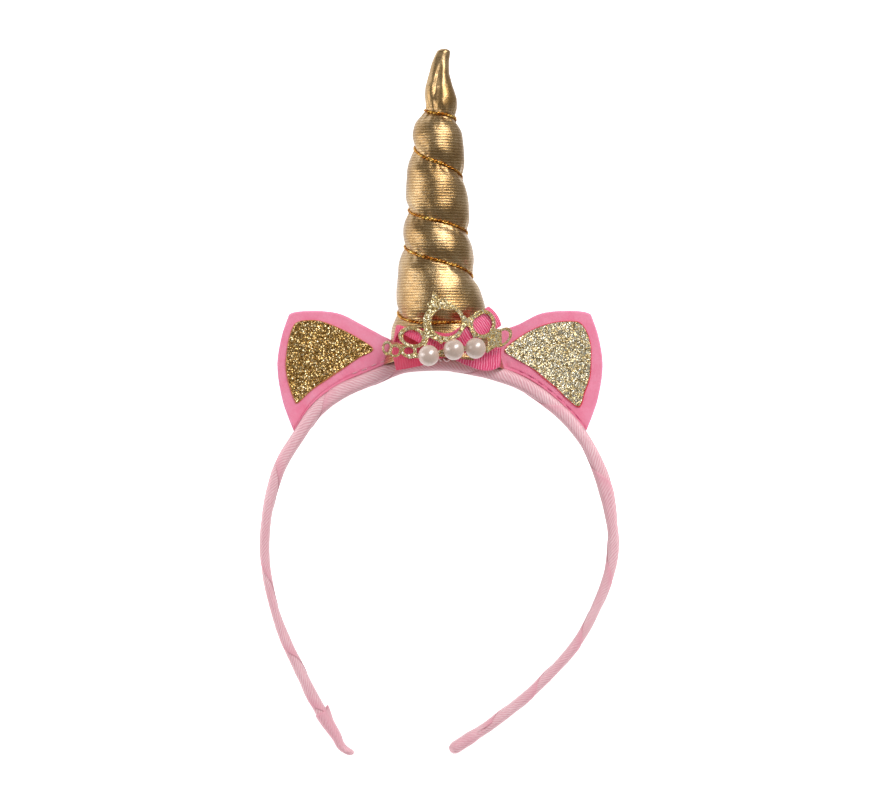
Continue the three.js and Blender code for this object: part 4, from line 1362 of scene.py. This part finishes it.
# Pearls
# Names, places in pearls from the middle one, and how much the thread tilts each.
PEARLS = (
    ("pearl_left", -1.2, -0.28, 0.3), ("pearl_middle", 0, 0, 1.1), ("pearl_right", 1.04, 0.07, 0.7),
)
MIDDLE_PEARL = (0.43, -1.64)
HOLE_LIP = 0.12  # how wide and how deep the edge of a pearl's hole is rounded
HOLE_DEEP = 1.3


def bead(name, across, up, tilt):
    """A pearl with a drilled hole, whose poles lie along the thread."""
    x, y = tiara_spot(*MIDDLE_PEARL)
    x, y = x + across * PEARL, y + up * PEARL
    z = ground(x, y) + TIARA_BACK + TIARA_THICK + GAP + PEARL / 2
    bpy.ops.mesh.primitive_uv_sphere_add(
        segments=48, ring_count=32, radius=PEARL / 2 * MM, location=(0, 0, 0)
    )
    pearl = bpy.context.object
    pearl.name = pearl.data.name = f"{name}_bead"
    only(pearl)
    bpy.ops.object.mode_set(mode="EDIT")
    work = bmesh.from_edit_mesh(pearl.data)
    for sign in (1, -1):
        for face in work.faces:
            face.select = sign * face.calc_center_median().z > PEARL / 2 * MM * 0.985
        bmesh.update_edit_mesh(pearl.data)
        for inset, deep in ((HOLE_LIP, HOLE_LIP), (0.08, HOLE_DEEP)):
            bpy.ops.mesh.inset(thickness=inset * MM)
            bpy.ops.transform.translate(value=(0, 0, -sign * deep * MM))
        work = bmesh.from_edit_mesh(pearl.data)
    bpy.ops.object.mode_set(mode="OBJECT")
    turn = Matrix.Rotation(tilt * 0.3, 4, "Z") @ Matrix.Rotation(math.pi / 2, 4, "Y")
    pearl.data.transform(Matrix.Translation(Vector(placed((x, y, z))[0])) @ turn)
    pearl.data.polygons.foreach_set("use_smooth", [True] * len(pearl.data.polygons))
    return pearl


for row in PEARLS:
    dress(bead(*row), PEARL_LACQUER, "pearl", row[0])

# The thread ends and stitches that hold the bow to the band, under the middle pearl.
BOW_STITCHES = (
    ((-1.1, 3.2), (-0.9, 2.2), (-0.2, 1.4), (0.5, 0.9)),
    ((1.2, 1.6), (1.9, 0.9), (2.7, 0.8), (3.3, 1.4)),
    ((3.0, 2.2), (3.8, 1.5), (4.9, 1.5), (5.6, 2.2)),
)
STITCH_THICK = 0.4


def bow_stitches():
    strokes = []
    for i, row in enumerate(BOW_STITCHES):
        flat = spline(row, np.linspace(0, 1, 14))
        hump = np.sin(np.linspace(0, math.pi, 14)) * 0.5
        depth = np.maximum(ground(flat[:, 0], flat[:, 1]) + 0.7, BAND_DEEP / 2) + hump
        path = np.column_stack((flat, depth))
        strokes.append(tube(f"stroke_{i}", path, STITCH_THICK / 2, 6, mark=1))
    return joined("bow_stitches", strokes)


dress(bow_stitches(), THREAD, "bow_ribbon")


# Floor and light
PAPER_GLOW = 0.85
GLOSSY_GLOW = (0.9, 0.22)  # what glossy surfaces see of the paper, at the left and at the right
GLOSSY_FROM, GLOSSY_TO = 0.034, 0.056  # where the one turns into the other


def floor():
    """Plain white paper; glossy surfaces see it darker at the right."""
    bpy.ops.mesh.primitive_plane_add(size=6, location=(0, 0, -0.0007))
    paper = bpy.context.object
    paper.name = "floor"
    sheet = new_material("floor_paper", Roughness=0.9, Emission_Strength=1.0)
    grain = sheet.noise(sheet.spot(), 40.0, 3.0)
    tone = sheet.ramp(grain, ((0.3, (0.9, 0.9, 0.9)), (0.7, (0.93, 0.93, 0.93))))
    glossy = sheet.glossy_ray()
    across, up = sheet.axes(sheet.spot())
    seen = sheet.spread(sheet.times(up, 0.13, across), GLOSSY_FROM, GLOSSY_TO, *GLOSSY_GLOW)
    glow = sheet.times(sheet.math("SUBTRACT", seen, PAPER_GLOW), glossy, PAPER_GLOW)
    colour = sheet.blend(glossy, tone, (0.05, 0.05, 0.05, 1))
    light = sheet.blend(glow, (0, 0, 0, 1), (1, 1, 1, 1))
    paper.data.materials.append(sheet.surface(Base_Color=colour, Emission_Color=light))


def lamp(name, place, size, radiance):
    """A soft box that faces the middle of the headband."""
    light = bpy.data.lights.new(name, "AREA")
    light.shape, (light.size, light.size_y) = "RECTANGLE", size
    light.energy = radiance * 4 * size[0] * size[1]
    made = bpy.data.objects.new(name, light)
    bpy.context.scene.collection.objects.link(made)
    made.location = place
    made.rotation_euler = (Vector((0, 0.02, 0.02)) - Vector(place)).to_track_quat("-Z", "Y").to_euler()


def studio_air():
    """White air all round, dimmer where glossy surfaces see it."""
    world = bpy.data.worlds.new("studio")
    bpy.context.scene.world = world
    world.use_nodes = True
    air = Sheet(world.node_tree)
    background = world.node_tree.nodes["Background"]
    air.plug(background.inputs["Color"], (1, 1, 1, 1))
    air.plug(background.inputs["Strength"], air.times(air.glossy_ray(), -0.25, 0.45))


floor()
lamp("key_right", (0.52, 0.6, 0.85), (0.5, 0.95), 4.2)
lamp("low_left", (-0.75, 0.1, 0.18), (0.3, 0.9), 2.0)
studio_air()
bpy.context.scene.view_settings.view_transform = "Standard"
